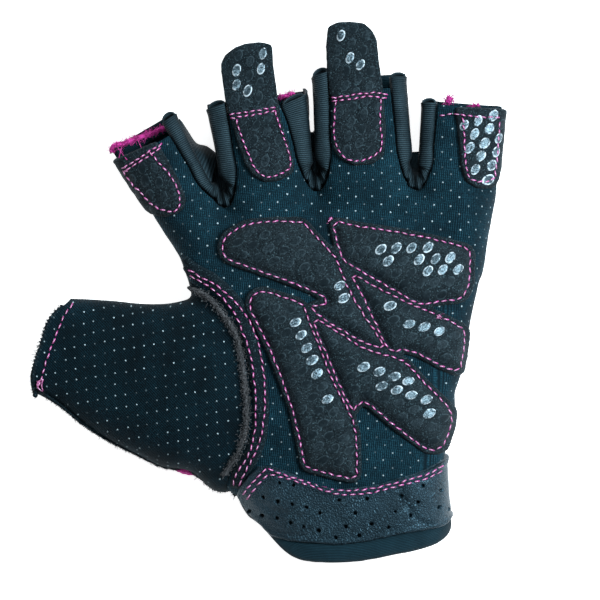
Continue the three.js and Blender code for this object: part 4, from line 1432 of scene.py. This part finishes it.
tapeLine = smoothLine(spots([(180, 262), (193, 272), (210, 281), (226, 295), (239, 311),
                             (248, 335), (255, 362), (259, 388), (260, 415), (257, 438),
                             (250, 456), (240, 471), (236, 488)]), 0.6)
tapeOutline = np.vstack([besideLine(tapeLine, tape["palmSide"]),
                         besideLine(tapeLine, -tape["thumbSide"])[::-1]])
if signedDistance([tapeLine[10]], tapeOutline)[0] > 0:
    tapeOutline = tapeOutline[::-1]


def tapeRise(points, inward):
    return tape["thick"] * (1 - np.exp(-inward / 0.4)) + 0.12 * ripple(points, 3, 7.7)


seamTape, tapeTop, tapeFaces = laid("thumb_seam_tape", tapeOutline, formTree, tapeCloth,
                                    tape["lift"], tapeRise, 0.7)
finishPiece(seamTape, "felt", "thumb_seam_welt")
placed.append((tapeTop, tapeFaces))


def tube(path, radii, around=10, fuzz=0.0, grain=0.8, seed=0.0, flat=1.0):
    # a soft round strip along a path of points, its radius given at each of them
    path = np.asarray(path, float)
    radii = np.broadcast_to(radii, len(path))
    ahead = np.gradient(path, axis=0)
    ahead /= np.linalg.norm(ahead, axis=1, keepdims=True)
    side = np.cross(ahead, [0, 0, 1.0])
    side /= np.maximum(np.linalg.norm(side, axis=1, keepdims=True), 1e-6)
    up = np.cross(side, ahead)
    turn = np.linspace(0, 2 * np.pi, around + 1)[:-1]
    points = []
    for k in range(len(path)):
        for t in turn:
            points.append(path[k] + radii[k] * (math.cos(t) * side[k] + flat * math.sin(t) * up[k]))
    points = np.array(points)
    if fuzz:
        centre = np.repeat(path, around, axis=0)
        out = points - centre
        out = out / np.maximum(np.linalg.norm(out, axis=1, keepdims=True), 1e-6)
        points = points + out * (fuzz * ripple(points, grain, seed))[:, None]
    faces = [(k * around + i, k * around + (i + 1) % around, (k + 1) * around + (i + 1) % around,
              (k + 1) * around + i) for k in range(len(path) - 1) for i in range(around)]
    faces = [f[::-1] for f in faces]
    first = tuple(range(around))
    last = tuple(range((len(path) - 1) * around, len(path) * around))[::-1]
    return points, faces + [first, last]


def together(parts):
    points = []
    faces = []
    for some, their in parts:
        base = len(points)
        points.extend(some)
        faces += [tuple(i + base for i in f) for f in their]
    return points, faces


def piecesOf(name, parts, finish):
    # several small shapes as one object
    points, faces = together(parts)
    return meshObject(name, np.array(points), faces, finish)


def surfaceTree():
    return treeOf(*together(placed))


def fibres(path, count, length, radius, spread, lean=(0, 0, 1.0)):
    # short curled hairs standing along a path
    parts = []
    path = np.asarray(path, float)
    for _ in range(count):
        k = random.uniform(0, len(path) - 1.001)
        start = path[int(k)] + (path[int(k) + 1] - path[int(k)]) * (k - int(k))
        start = start + np.array([random.gauss(0, spread) for _ in range(3)]) * [1, 1, 0.4]
        way = np.array(lean) + np.array([random.gauss(0, 0.9) for _ in range(3)])
        way /= max(np.linalg.norm(way), 1e-6)
        curl = np.array([random.gauss(0, 0.6) for _ in range(3)])
        long = length * random.uniform(0.5, 1.3)
        steps = np.linspace(0, 1, 4)[:, None]
        line = start + long * (steps * way + steps ** 2 * curl * 0.8)
        line[:, 2] = np.maximum(line[:, 2], 0.2)
        parts.append(tube(line, radius * np.array([1, 1, 0.9, 0.5]), 4))
    return parts


# the tape's raw felt edge: a fuzzy core, thicker at its upper end, with short hairs
rawEdge = {"radius": 0.48, "thicker": 0.3, "above": 0.5, "hairs": 2100, "hairLength": 0.62,
           "hairRadius": 0.085, "spread": 0.7}
rawLine = alongLine(smoothLine(spots([(190, 288), (207, 296.5), (224, 315), (235.5, 333),
                                      (242, 359.5), (245, 384), (247, 409), (246, 428),
                                      (243, 439.5), (238, 454), (230, 465), (224, 475)]), 0.6),
                    0.45)
rawPath = np.column_stack([rawLine, heightsOn(formTree, rawLine) + rawEdge["above"]])
rawSize = rawEdge["radius"] + rawEdge["thicker"] * np.exp(-np.linspace(0, 1, len(rawPath)) / 0.3)
rawParts = [tube(rawPath - [0, 0, 0.25], rawSize, 12, 0.5, 0.8, 2.0)]
rawParts += fibres(rawPath[4:], rawEdge["hairs"], rawEdge["hairLength"], rawEdge["hairRadius"],
                   rawEdge["spread"])
aside(piecesOf("felt_raw_edge", rawParts, felt))

turnIn = {"rows": 9, "across": 41, "deep": 4.2, "end": 0.3, "inset": 1.9, "low": 2.1, "rise": 2.6,
          "thick": 0.7}


def mouthHem(key):
    # dark turned-in hem lying inside the back of a finger's mouth
    f = fingers[key]
    points = []
    rows, columns = turnIn["rows"], turnIn["across"]
    for along in np.linspace(f["back"] - turnIn["deep"], f["back"] - turnIn["end"], rows):
        half = fingerHalf(f, along) - turnIn["inset"]
        for t in np.linspace(-1, 1, columns):
            z = turnIn["low"] + turnIn["rise"] * abs(t) ** 5
            points.append([*onFinger(f, t * half, along), z])
    points = np.array(points)
    points[:, 2] += 0.2 * ripple(points, 1.6, 5.0)
    faces, normals = facingUp(points, gridFaces(rows, columns))
    piece = closedSheet(f"mouth_hem_{key}", points, points - normals * turnIn["thick"], faces,
                        bindingRib)[0]
    lengthMap(piece, np.tile(np.repeat(np.linspace(0, 3.9, rows), columns), 2))
    finishPiece(piece, "binding", f"finger_hem_{key}")


for key in fingers:
    mouthHem(key)

# pink edging inside the mouths: line in the photo, height in mm, number of hairs, radius in mm
edgings = [
    ([(111, 152), (112, 146), (122, 143), (134, 138.5), (150, 133), (164, 127)], 4.4, 420, 0.75),
    ([(279, 97.5), (286, 95), (294, 92.5)], 4.6, 110, 0.7),
    ([(448, 102), (451, 96)], 5.0, 90, 0.9),
    ([(473, 105), (480, 104)], 4.6, 26, 0.4),
]
pinkParts = []
for k, (rows, high, hairs, thick) in enumerate(edgings):
    line = alongLine(smoothLine(spots(rows), 0.3) if len(rows) > 2 else spots(rows), 0.3)
    path = np.column_stack([line, np.full(len(line), high) + 0.3 * np.sin(line[:, 0] * 1.7)])
    pinkParts.append(tube(path, thick, 10, 0.4, 0.6, 3.0 + k))
    pinkParts += fibres(path, hairs, 1.1, 0.085, thick * 0.6, (0, 0.2, 0.8))
# loose threads at the index's mouth, from and to in the photo
for ends in ([(117, 147), (127, 160)], [(121, 146), (119, 158)], [(137, 139), (142, 149)]):
    line = alongLine(spots(ends), 0.5)
    path = np.column_stack([line, np.linspace(6.0, 12.5, len(line))])
    pinkParts.append(tube(path, 0.12, 6, 0.1, 0.9, 1.0))
aside(piecesOf("pink_edging", pinkParts, pinkFuzz))



def lowerEdge(first, last, count, below, height):
    # the form's lower side at pixel columns of the photo, met from below at one height
    line = []
    for x in np.linspace(first, last, count):
        hit = formTree.ray_cast(Vector((*spot(x, below), height)), Vector((0, 1, 0)))[0]
        if hit:
            line.append(list(hit))
    return np.array(line)


# pink insert in the thumb's lower seam
insertPath = lowerEdge(172, 199, 28, 520, 8.0)
insertSize = 0.25 + 1.45 * np.sin(np.linspace(0, np.pi, len(insertPath))) ** 0.8
insert = piecesOf("thumb_pink_insert", [tube(insertPath, insertSize, 12, 0.15, 0.9, 4.0, 1.5)],
                  pinkFuzz)
finishPiece(insert, "pink_edging", "thumb_base_piping")

# ridge of the overlocked seam along the thumb's lower edge and round its mouth
overlock = {"radius": 0.66, "waver": 0.24, "hairRadius": 0.085, "spread": 0.3, "seamHairs": 620,
            "seamLength": 0.6, "rimHairs": 340, "rimLength": 0.7}
ridge = lowerEdge(44, 236, 340, 560, 9.0)
ridgeSize = overlock["radius"] + overlock["waver"] * np.sin(np.arange(len(ridge)) * 2.4)
parts = [tube(ridge, ridgeSize, 10, 0.25, 1.1, 6.0, 1.9)]
parts += fibres(ridge, overlock["seamHairs"], overlock["seamLength"], overlock["hairRadius"],
                overlock["spread"], (0, -0.8, 0.1))
rimLine = np.array([onThumb(across * thumb["mouthWidth"], along * thumb["length"])
                    for across, along in [(0.42, 0.985), (0.33, 1.02), (0, 1.055), (-0.36, 1.062),
                                          (-0.5, 1.035)]])
rimLine = smoothLine(rimLine, 0.35)
rimPath = np.column_stack([rimLine, heightsOn(formTree, rimLine - [[-0.5, 0]]) - 0.35])
rimSize = overlock["radius"] + overlock["waver"] * np.sin(np.arange(len(rimPath)) * 1.9)
parts.append(tube(rimPath, rimSize, 10, 0.2, 1.0, 8.0))
parts += fibres(rimPath, overlock["rimHairs"], overlock["rimLength"], overlock["hairRadius"],
                overlock["spread"], (-0.8, 0, 0.1))
aside(piecesOf("thumb_overlock", parts, tapeCloth))

# closure tab let into the hidden back of the wrist
closure = {"corner": 3.5, "inset": 0.25, "thick": 1.5, "edge": 0.45, "seam": 0.12, "hooks": 0.05}
flat, faces, inward = net(moved(roundedOutline(tabRegion, closure["corner"], 0.6),
                                -closure["inset"]), 0.7)
hooks = np.column_stack([flat, np.zeros(len(flat))])
face = 0.05 + closure["edge"] * np.exp(-inward / 0.45)
face += closure["seam"] * np.exp(-((inward - 2.0) / 0.35) ** 2)
face += closure["hooks"] * (1 + ripple(hooks, 1.2, 2.0))
outer = np.column_stack([flat, face])
inner = np.column_stack([flat, np.full(len(flat), closure["thick"])])
tab = closedSheet("closure_tab", inner, outer, faces, bindingRib)[0]
lengthMap(tab, np.tile(flat[:, 0], 2))
finishPiece(tab, "binding", "wrist_closure_tab")
print("thumb seam done")

# perforated leather cuff on the palm side of the wrist, running down the little finger's side
cuff = {"thick": 1.3, "lift": 0.1, "skin": 0.9, "hole": 0.4, "turnX": 423, "turnRadius": 9.0,
        "turnHeight": 9.0, "seam": 0.22, "lip": 0.25, "waver": 0.22}
turnAt = spot(cuff["turnX"], 0)[0]
cuffBed = dict(fromAbove, turns=((turnAt, 1, cuff["turnHeight"], cuff["turnRadius"]),))
cuffTop = [(258, 465), (268, 464.5), (290, 471), (302, 477), (320, 484), (335, 487), (350.6, 486),
           (375, 483), (399, 476), (423, 468.5), (441, 459.5), (456, 454), (474, 452)]
cuffLow = [(484, 516), (466, 517), (449, 521), (439, 526), (426, 529), (401, 533), (382, 537),
           (362.6, 541), (338, 543.6), (315, 542), (286, 539), (271, 534), (262, 525), (252, 514),
           (243, 503)]
cuffOutline = np.vstack([smoothLine(spots(cuffTop), 0.6), smoothLine(spots(cuffLow), 0.6),
                         smoothLine(spots([(243, 503), (238, 494), (247, 477), (258, 465)]),
                                    0.6)[1:-1]])[::-1]
perforations = [
    (265, 495), (279, 499), (293, 502), (307, 505), (320, 510.6), (280.4, 480.4), (294, 483),
    (252.6, 508.7), (264.7, 513), (278.4, 516), (291.4, 520.5), (304, 524.7), (318.6, 528),
    (335.5, 535.5), (338.5, 498), (355, 510.6), (345.4, 524.4), (358.4, 533), (366, 496.6),
    (371, 521.5), (387.5, 525), (394, 509.6), (400, 494.3), (409, 513.8), (415.8, 500.4),
    (420.4, 484.2), (433, 506), (434.4, 489.3), (445, 509), (450, 480), (458, 497), (466, 510),
    (466, 482), (475, 496)]
# depth in mm and line in the photo
creases = [(0.55, [(399, 486), (400, 496), (409, 509), (417, 519), (426, 523)]),
           (0.25, [(262, 500), (276, 509), (300, 514)]),
           (0.2, [(330, 520), (352, 516), (372, 508)])]


def lineDistance(points, line):
    best = np.full(len(points), 1e9)
    for a, b in zip(line[:-1], line[1:]):
        edge = b - a
        t = np.clip(((points[:, :2] - a) @ edge) / (edge @ edge), 0, 1)
        off = np.linalg.norm(points[:, :2] - (a + t[:, None] * edge), axis=1)
        best = np.minimum(best, off)
    return best


def cuffRise(points, inward):
    edge = 1 - np.exp(-inward / 0.35)
    seam = np.exp(-((inward - 2.2) / 0.8) ** 2)
    lip = np.exp(-((inward - 0.75) / 0.45) ** 2)
    rise = cuff["thick"] * edge - cuff["seam"] * seam + cuff["lip"] * lip
    rise += cuff["waver"] * ripple(points, 8, 1.1)
    for deep, line in creases:
        rise -= deep * np.exp(-(lineDistance(points, spots(line)) / 0.9) ** 2)
    return rise


cuffHoles = [(spot(*p), cuff["hole"]) for p in perforations]
cuffPiece, cuffTopNet, cuffFaces = laid("leather_cuff", cuffOutline, formTree, leather,
                                        cuff["lift"], cuffRise, 0.8, cuff["skin"], bed=cuffBed,
                                        holes=cuffHoles)
finishPiece(cuffPiece, "cuff_leather", "wrist_cuff")
placed.append((cuffTopNet, cuffFaces))

# the folded edge along the cuff's top stands up in a soft roll
fold = {"radius": 0.3, "waver": 0.05, "below": 0.35, "above": 0.1, "endX": 445}
foldLine = smoothLine(spots(cuffTop), 0.4) - [0, fold["below"]]
foldLine = foldLine[foldLine[:, 0] < spot(fold["endX"], 0)[0]]
foldPath = np.column_stack([foldLine, heightsOn(surfaceTree(), foldLine) + fold["above"]])
foldSize = fold["radius"] + fold["waver"] * np.sin(np.arange(len(foldPath)) * 0.7)
foldPart = tube(foldPath, foldSize, 12, 0.04, 0.5, 4.0)
aside(piecesOf("cuff_folded_edge", [foldPart], leather))
print("cuff done")

# ribbed binding round the wrist opening, its profile as places along the wrist and out from it
hem = {"turns": 150, "axisX": 0.03, "axisZ": 9.0,
       "profile": [(6.3, -0.5), (6.0, 0.1), (5.2, 0.5), (3.9, 0.7), (2.5, 0.7), (1.2, 0.5),
                   (0.4, 0.0), (0.0, -0.8), (0.3, -1.6), (1.2, -2.1), (3.0, -2.3), (5.0, -2.3),
                   (6.3, -2.1)]}


def roundWrist(turn, y):
    centre = np.array([middleX + hem["axisX"] * palm["width"], y, hem["axisZ"]])
    way = Vector((math.sin(turn), 0, math.cos(turn)))
    hit, normal = formTree.ray_cast(Vector(centre), way)[:2]
    if hit is None:
        hit, normal = formTree.find_nearest(Vector(centre) + way * 12)[:2]
    return np.array(hit), np.array(normal) * (1 if normal.dot(way) > 0 else -1)


def bindingRing():
    ring = []
    for turn in np.linspace(0, 2 * np.pi, hem["turns"] + 1)[:-1]:
        y = wristY
        for _ in range(4):
            place = roundWrist(turn, y + 1.0)[0]
            y = float(np.interp(place[0], wristLine[:, 0], wristLine[:, 1]))
        row = []
        for along, out in hem["profile"]:
            at, normal = roundWrist(turn, y + along)
            row.append(at + normal * out)
        ring.append(row)
    ring = np.array(ring)
    for _ in range(2):
        ring = 0.5 * ring + 0.25 * (np.roll(ring, 1, axis=0) + np.roll(ring, -1, axis=0))
    ring[:, :, 2] = np.maximum(ring[:, :, 2], 0.0)
    count, deep = ring.shape[:2]
    points = ring.reshape(-1, 3)
    points = points + 0.12 * np.column_stack([ripple(points, 2.5, 3.0 + k) for k in range(3)])
    points[:, 2] = np.maximum(points[:, 2], 0.0)
    faces = [(i * deep + j, i * deep + (j + 1) % deep, ((i + 1) % count) * deep + (j + 1) % deep,
              ((i + 1) % count) * deep + j) for i in range(count) for j in range(deep)]
    piece = meshObject("wrist_binding", points, faces, bindingRib)
    across = np.r_[0, np.cumsum(np.linalg.norm(np.diff(np.array(hem["profile"]), axis=0), axis=1))]
    lengthMap(piece, np.tile(across, count))
    soft = piece.modifiers.new("round", "SUBSURF")
    soft.levels = 2
    soft.render_levels = 2
    return piece


binding = bindingRing()
finishPiece(binding, "binding", "wrist_hem")
print("binding done")

# stitches: each is a short thread that sinks at both ends
sewing = {"pitch": 2.45, "long": 1.75, "thick": 0.24, "high": 0.3, "waver": 0.1}


def threadStitch(a, b, upward):
    at = np.linspace(0, 1, 7)
    path = a[None] + (b - a)[None] * at[:, None]
    path = path + upward[None] * (np.sin(np.pi * at) * (sewing["high"] + 0.22) - 0.2)[:, None]
    radii = sewing["thick"] * (0.72 + 0.28 * np.sin(np.pi * at))
    return tube(path, radii, 8)


def sew(name, tree, rows, closed=False, pitch=None, flatRows=False):
    # rows are places in the photo, or with flatRows places on the glove
    parts = []
    step = pitch or sewing["pitch"]
    for row in rows:
        row = np.asarray(row, float) if flatRows else spots(row)
        line = alongLine(row if closed else smoothLine(row, 0.4), step, closed)
        ends = np.vstack([line, line[:1]]) if closed else line
        for a, b in zip(ends[:-1], ends[1:]):
            way = (b - a) / max(np.linalg.norm(b - a), 1e-6)
            across = np.array([-way[1], way[0]])
            middle = (a + b) / 2 + across * random.uniform(-1, 1) * sewing["waver"]
            half = way * sewing["long"] / 2 * step / sewing["pitch"] * random.uniform(0.88, 1.12)
            tilt = across * random.uniform(-0.2, 0.26)
            flat = np.array([middle - half - tilt, middle, middle + half + tilt])
            p = onForm(tree, flat)
            span = p[2] - p[0]
            upward = np.cross(np.cross(span, [0, 0, 1.0]), span)
            upward /= max(np.linalg.norm(upward), 1e-6)
            lifted = np.array([p[0], p[2]])
            lifted[:, 2] += max(0, p[1][2] - (p[0][2] + p[2][2]) / 2)
            parts.append(threadStitch(lifted[0], lifted[1], upward))
    aside(piecesOf(name, parts, thread))


sewnOn = surfaceTree()
for name, line in cellLines.items():
    sew("stitches_" + name, sewnOn, [moved(line, 0.25)], closed=True, flatRows=True)
sew("stitches_fingers", sewnOn, [
    [(122, 170), (130.5, 182), (145, 197.5), (153.5, 206), (165, 211), (178, 210.5), (180.5, 200),
     (177, 188), (149, 151)],
    [(236, 118.6), (242, 138), (250, 158), (256, 170), (265, 177.6), (279, 174.6),
     (290, 168.6), (286.7, 147), (280.5, 128.6), (275, 110)],
    [(336, 100), (334, 122.5), (336, 145), (344, 157.5), (354, 161.5), (366, 159.5),
     (379.5, 152), (380, 122.5), (381, 98)],
    [(463, 117), (464.4, 138), (465, 161), (470, 179), (482, 182.4), (493, 180), (496, 165),
     (499, 138), (499.4, 121)],
    [(116.7, 172), (140, 157.6), (163, 143)], [(118.6, 175), (141, 161), (162, 147.4)],
    [(228.5, 115), (252, 111.6), (276, 107)], [(229, 118.6), (252, 115.2), (276.4, 110.6)],
    [(330.5, 98), (350, 95.6), (372, 93), (388.7, 94.6)],
    [(331, 101.6), (350, 99.2), (372, 96.6), (388, 98)],
    [(439, 116), (451, 114), (464, 115.6), (482, 117), (501, 117.4)]], pitch=2.1)
sew("stitches_thumb_seam", sewnOn, [
    [(188, 269), (199, 276), (219, 287), (235.5, 302), (246, 315), (257, 337), (262, 360),
     (265, 385), (265, 410), (262, 432), (257, 449), (248, 466), (242, 478), (239, 486)],
    [(189, 275), (207, 285), (224, 299), (235.5, 314), (243, 331), (249, 348), (253, 368),
     (256, 401), (255, 430), (251, 448), (244, 463), (235, 475), (233, 486)]])
sew("stitches_thumb_mouth", sewnOn, [
    [(74, 302), (65.5, 313), (58, 331), (51, 348), (46, 363), (43, 373), (40.5, 383)]])
sew("stitches_cuff", sewnOn, [
    [(267, 467), (292, 476), (308, 480.6), (325, 486), (342, 488.8), (355, 488.4), (375, 486),
     (393, 482), (411, 477.5), (423, 474), (435, 469), (444, 464)],
    [(268.6, 472.5), (300, 480.6), (318, 486.6), (331, 491), (347, 493), (355, 492.8),
     (373.6, 490.5), (384.5, 488), (403, 483), (421, 478.5), (431, 475), (443, 469.7)],
    [(267, 467), (256, 478), (250.7, 484), (246, 489.5), (242.7, 495)],
    [(268.6, 472.5), (257, 485), (253, 490), (249, 495.7), (246, 500)]])
print("stitches done")

# thread ends: place in the photo and number of hairs
knots = {(39, 384): 10, (437, 317): 12, (330, 220): 8}
knotParts = []
for (x, y), hairs in knots.items():
    at = spot(x, y)
    z = heightsOn(sewnOn, [at])[0]
    path = np.array([[*(at + [-0.5, -0.6]), z + 0.2], [*at, z + 0.5],
                     [*(at + [0.4, 0.7]), z + 0.2]])
    knotParts.append(tube(alongLine(path, 0.2), 0.3, 8, 0.15, 0.5, 2.0))
    knotParts += fibres(path, hairs, 0.9, 0.09, 0.2, (0.3, 0, 0.2))
# the small loop of thread at the thumb's mouth
loop = alongLine(smoothLine(spots([(43, 379), (41.5, 386), (42.5, 391), (38, 388), (37, 385),
                                   (39, 381), (43, 379)]), 0.3), 0.3)
loopPath = np.column_stack([loop, heightsOn(sewnOn, loop) + 0.45])
knotParts.append(tube(loopPath, 0.22, 8, 0.1, 0.5, 3.0))
aside(piecesOf("thread_ends", knotParts, thread))

# raised grip ovals on every piece of suede, in mm; the steps of their pattern and the places of the
# highlighted ones are in the photo, and "reach" is how near to one of those an oval gets the smooth
# finish with its painted highlight, in pixels
grip = {"along": 4.3, "across": 2.8, "high": 0.17, "rings": 5, "around": 18,
        "stepA": (15.6, -1.0), "stepB": (7.4, 11.6), "turn": 42, "reach": 9.0, "dullHigh": 0.45,
        "highlighted": [(385.7, 245), (394, 256), (411, 256), (408.7, 241), (426.7, 253), (441, 252),
                  (452, 256), (464, 254), (440.5, 264), (424, 263.5), (456, 271), (379, 295),
                  (394.6, 309.4), (409.4, 320.6), (422.5, 323), (431.6, 331), (445.7, 331),
                  (340.6, 292), (347.5, 301), (358, 358), (368.6, 370), (387, 364), (382.7, 377),
                  (399, 372.5), (396.4, 386), (413, 382), (411, 395), (425, 404.4), (299.7, 326),
                  (311, 341), (318, 361), (325.4, 374), (333, 393.7), (343, 408.6), (468, 125),
                  (478, 125), (492, 122), (470, 140), (482, 142), (496, 138), (472, 158),
                  (484, 160), (494, 155), (478, 175), (490, 172), (343, 40), (357, 58),
                  (262, 62), (240, 88), (232, 70)]}
highlightedSpots = spots(grip["highlighted"])
# how far out each point of an oval lies, for the painted highlight on its rim
ovalShare = np.r_[0, np.repeat(np.arange(1, grip["rings"] + 1) / grip["rings"], grip["around"]),
                  np.ones(grip["around"])]


def oval(centre, turn, scale, tree, bed, height):
    rows = np.linspace(0, 1, grip["rings"] + 1)[1:]
    spin = np.linspace(0, 2 * np.pi, grip["around"] + 1)[:-1]
    flat = [centre]
    for r in rows:
        x = np.cos(spin) * grip["along"] / 2 * r * scale
        y = np.sin(spin) * grip["across"] / 2 * r * scale
        flat += list(centre + np.stack([x * math.cos(turn) - y * math.sin(turn),
                                        x * math.sin(turn) + y * math.cos(turn)], 1))
    points = onForm(tree, flat, bed)
    outward = np.r_[0, np.repeat(rows, grip["around"])]
    n = grip["around"]
    faces = [(0, 1 + i, 1 + (i + 1) % n) for i in range(n)]
    for k in range(grip["rings"] - 1):
        a = 1 + k * n
        faces += [(a + i, a + n + i, a + n + (i + 1) % n, a + (i + 1) % n) for i in range(n)]
    normals = pointNormals(points, faces)
    high = grip["high"] * (1 - outward ** 3) ** 0.8 - 0.06 * np.exp(-(outward / 0.55) ** 2)
    top = points + normals * (height * high - 0.03 * (outward > 0.99))[:, None]
    base = 1 + (grip["rings"] - 1) * n
    low = points[base:] - normals[base:] * 0.15
    count = len(top)
    faces += [(base + i, count + i, count + (i + 1) % n, base + (i + 1) % n) for i in range(n)]
    faces.append(tuple(range(count, count + n))[::-1])
    return np.vstack([top, low]), faces


def gripOvals(name, outline, tree, margin, bed=fromAbove, turn=0.0, scale=1.0):
    parts = {True: [], False: []}
    spin = math.radians(turn)
    rotate = np.array([[math.cos(spin), -math.sin(spin)], [math.sin(spin), math.cos(spin)]])
    a = rotate @ (np.array(grip["stepA"]) * [1, -1] * picture["scale"]) * scale
    b = rotate @ (np.array(grip["stepB"]) * [1, -1] * picture["scale"]) * scale
    steps = np.arange(-26, 27)
    i, j = (k.ravel() for k in np.meshgrid(steps, steps))
    spotsOn = np.mean(outline, axis=0) + i[:, None] * a + j[:, None] * b
    spotsOn = spotsOn[(spotsOn > outline.min(0)).all(1) & (spotsOn < outline.max(0)).all(1)]
    for at in spotsOn[signedDistance(spotsOn, outline) < -margin]:
        at = at + np.array([random.uniform(-0.2, 0.2), random.uniform(-0.2, 0.2)])
        tilt = math.radians(grip["turn"] + turn + random.uniform(-8, 8))
        flat = bed["root"] + at[0] * bed["sideways"] + at[1] * bed["forward"]
        # an oval near one of those places gets the smooth copy with the painted highlight, and any other
        # oval gets the dull copy
        near = np.linalg.norm(highlightedSpots - flat, axis=1).min()
        highlighted = bool(near < grip["reach"] * picture["scale"])
        size = scale * random.uniform(0.92, 1.04)
        parts[highlighted].append(oval(at, tilt, size, tree, bed, 1 if highlighted else grip["dullHigh"]))
    for highlighted, its, finish in ((True, name, smoothPaintedHighlightGrip), (False, name + "_dull", dullGrip)):
        if parts[highlighted]:
            piece = piecesOf(its, parts[highlighted], finish)
            lengthMap(piece, np.tile(ovalShare, len(parts[highlighted])))
            aside(piece)
    return len(parts[True]) + len(parts[False])


# how far the pattern turns on each cell, in degrees
turnsOfCells = {"pad_index_centre": -14, "pad_little_upper": 0, "pad_little_middle": -18,
                "pad_heel_little": -22, "pad_heel_thumb": -10}
onPatch = {"margin": 1.9, "turn": 20, "scale": 0.96}
count = 0
for name, line in cellLines.items():
    count += gripOvals("grip_" + name, line, sewnOn, 1.7, turn=turnsOfCells[name])
for name, patch in patches.items():
    count += gripOvals("grip_patch_" + name, patch["line"], sewnOn, onPatch["margin"],
                       patch["bed"], onPatch["turn"], onPatch["scale"])
print("grip ovals", count)

# floor, light and camera

def studio():
    look = {"distance": 1.6, "sensor": 36.0, "height": 0.012, "floorSize": 6, "floorTone": 0.9,
            "floorRough": 0.9, "floorGlow": 0.85, "lampTone": (0.84, 0.95, 1.0), "world": 0.24}
    data = bpy.data.cameras.new("camera")
    camera = bpy.data.objects.new("camera", data)
    bpy.context.scene.collection.objects.link(camera)
    x, y = spot(picture["wide"] / 2, picture["wide"] / 2) * mm
    camera.location = (x, y, look["distance"] + look["height"])
    data.sensor_width = look["sensor"]
    data.lens = look["sensor"] * look["distance"] / (picture["wide"] * picture["scale"] * mm)
    data.clip_end = 20
    bpy.context.scene.camera = camera

    bpy.ops.mesh.primitive_plane_add(size=look["floorSize"], location=(x, y, -0.0002))
    floor = bpy.context.object
    floor.name = "floor"
    pale = newMaterial("floor_white", look["floorRough"])
    shader = pale.node_tree.nodes["Principled BSDF"]
    shader.inputs["Base Color"].default_value = (*[look["floorTone"]] * 3, 1)
    shader.inputs["Emission Color"].default_value = (1, 1, 1, 1)
    shader.inputs["Emission Strength"].default_value = look["floorGlow"]
    floor.data.materials.append(pale)

    # offset from the glove and size in metres, power in watts
    lamps = {
        "key": ((0.92, 0.26, 0.98), 0.42, 28.5),
        "fill": ((-0.9, 0.3, 0.7), 0.8, 2.0),
        "top": ((0.1, 1.1, 0.6), 0.6, 4.5),
    }
    for name, (offset, size, power) in lamps.items():
        light = bpy.data.lights.new(name, "AREA")
        light.size = size
        light.energy = power
        light.color = look["lampTone"]
        lamp = bpy.data.objects.new(name, light)
        lamp.location = Vector((x, y, 0)) + Vector(offset)
        lamp.rotation_euler = (Vector((x, y, 0)) - lamp.location).to_track_quat("-Z", "Y").to_euler()
        bpy.context.scene.collection.objects.link(lamp)
    world = bpy.data.worlds.new("studio")
    world.use_nodes = True
    background = world.node_tree.nodes["Background"]
    background.inputs[0].default_value = (1, 1, 1, 1)
    background.inputs[1].default_value = look["world"]
    bpy.context.scene.world = world


studio()
print("studio done")
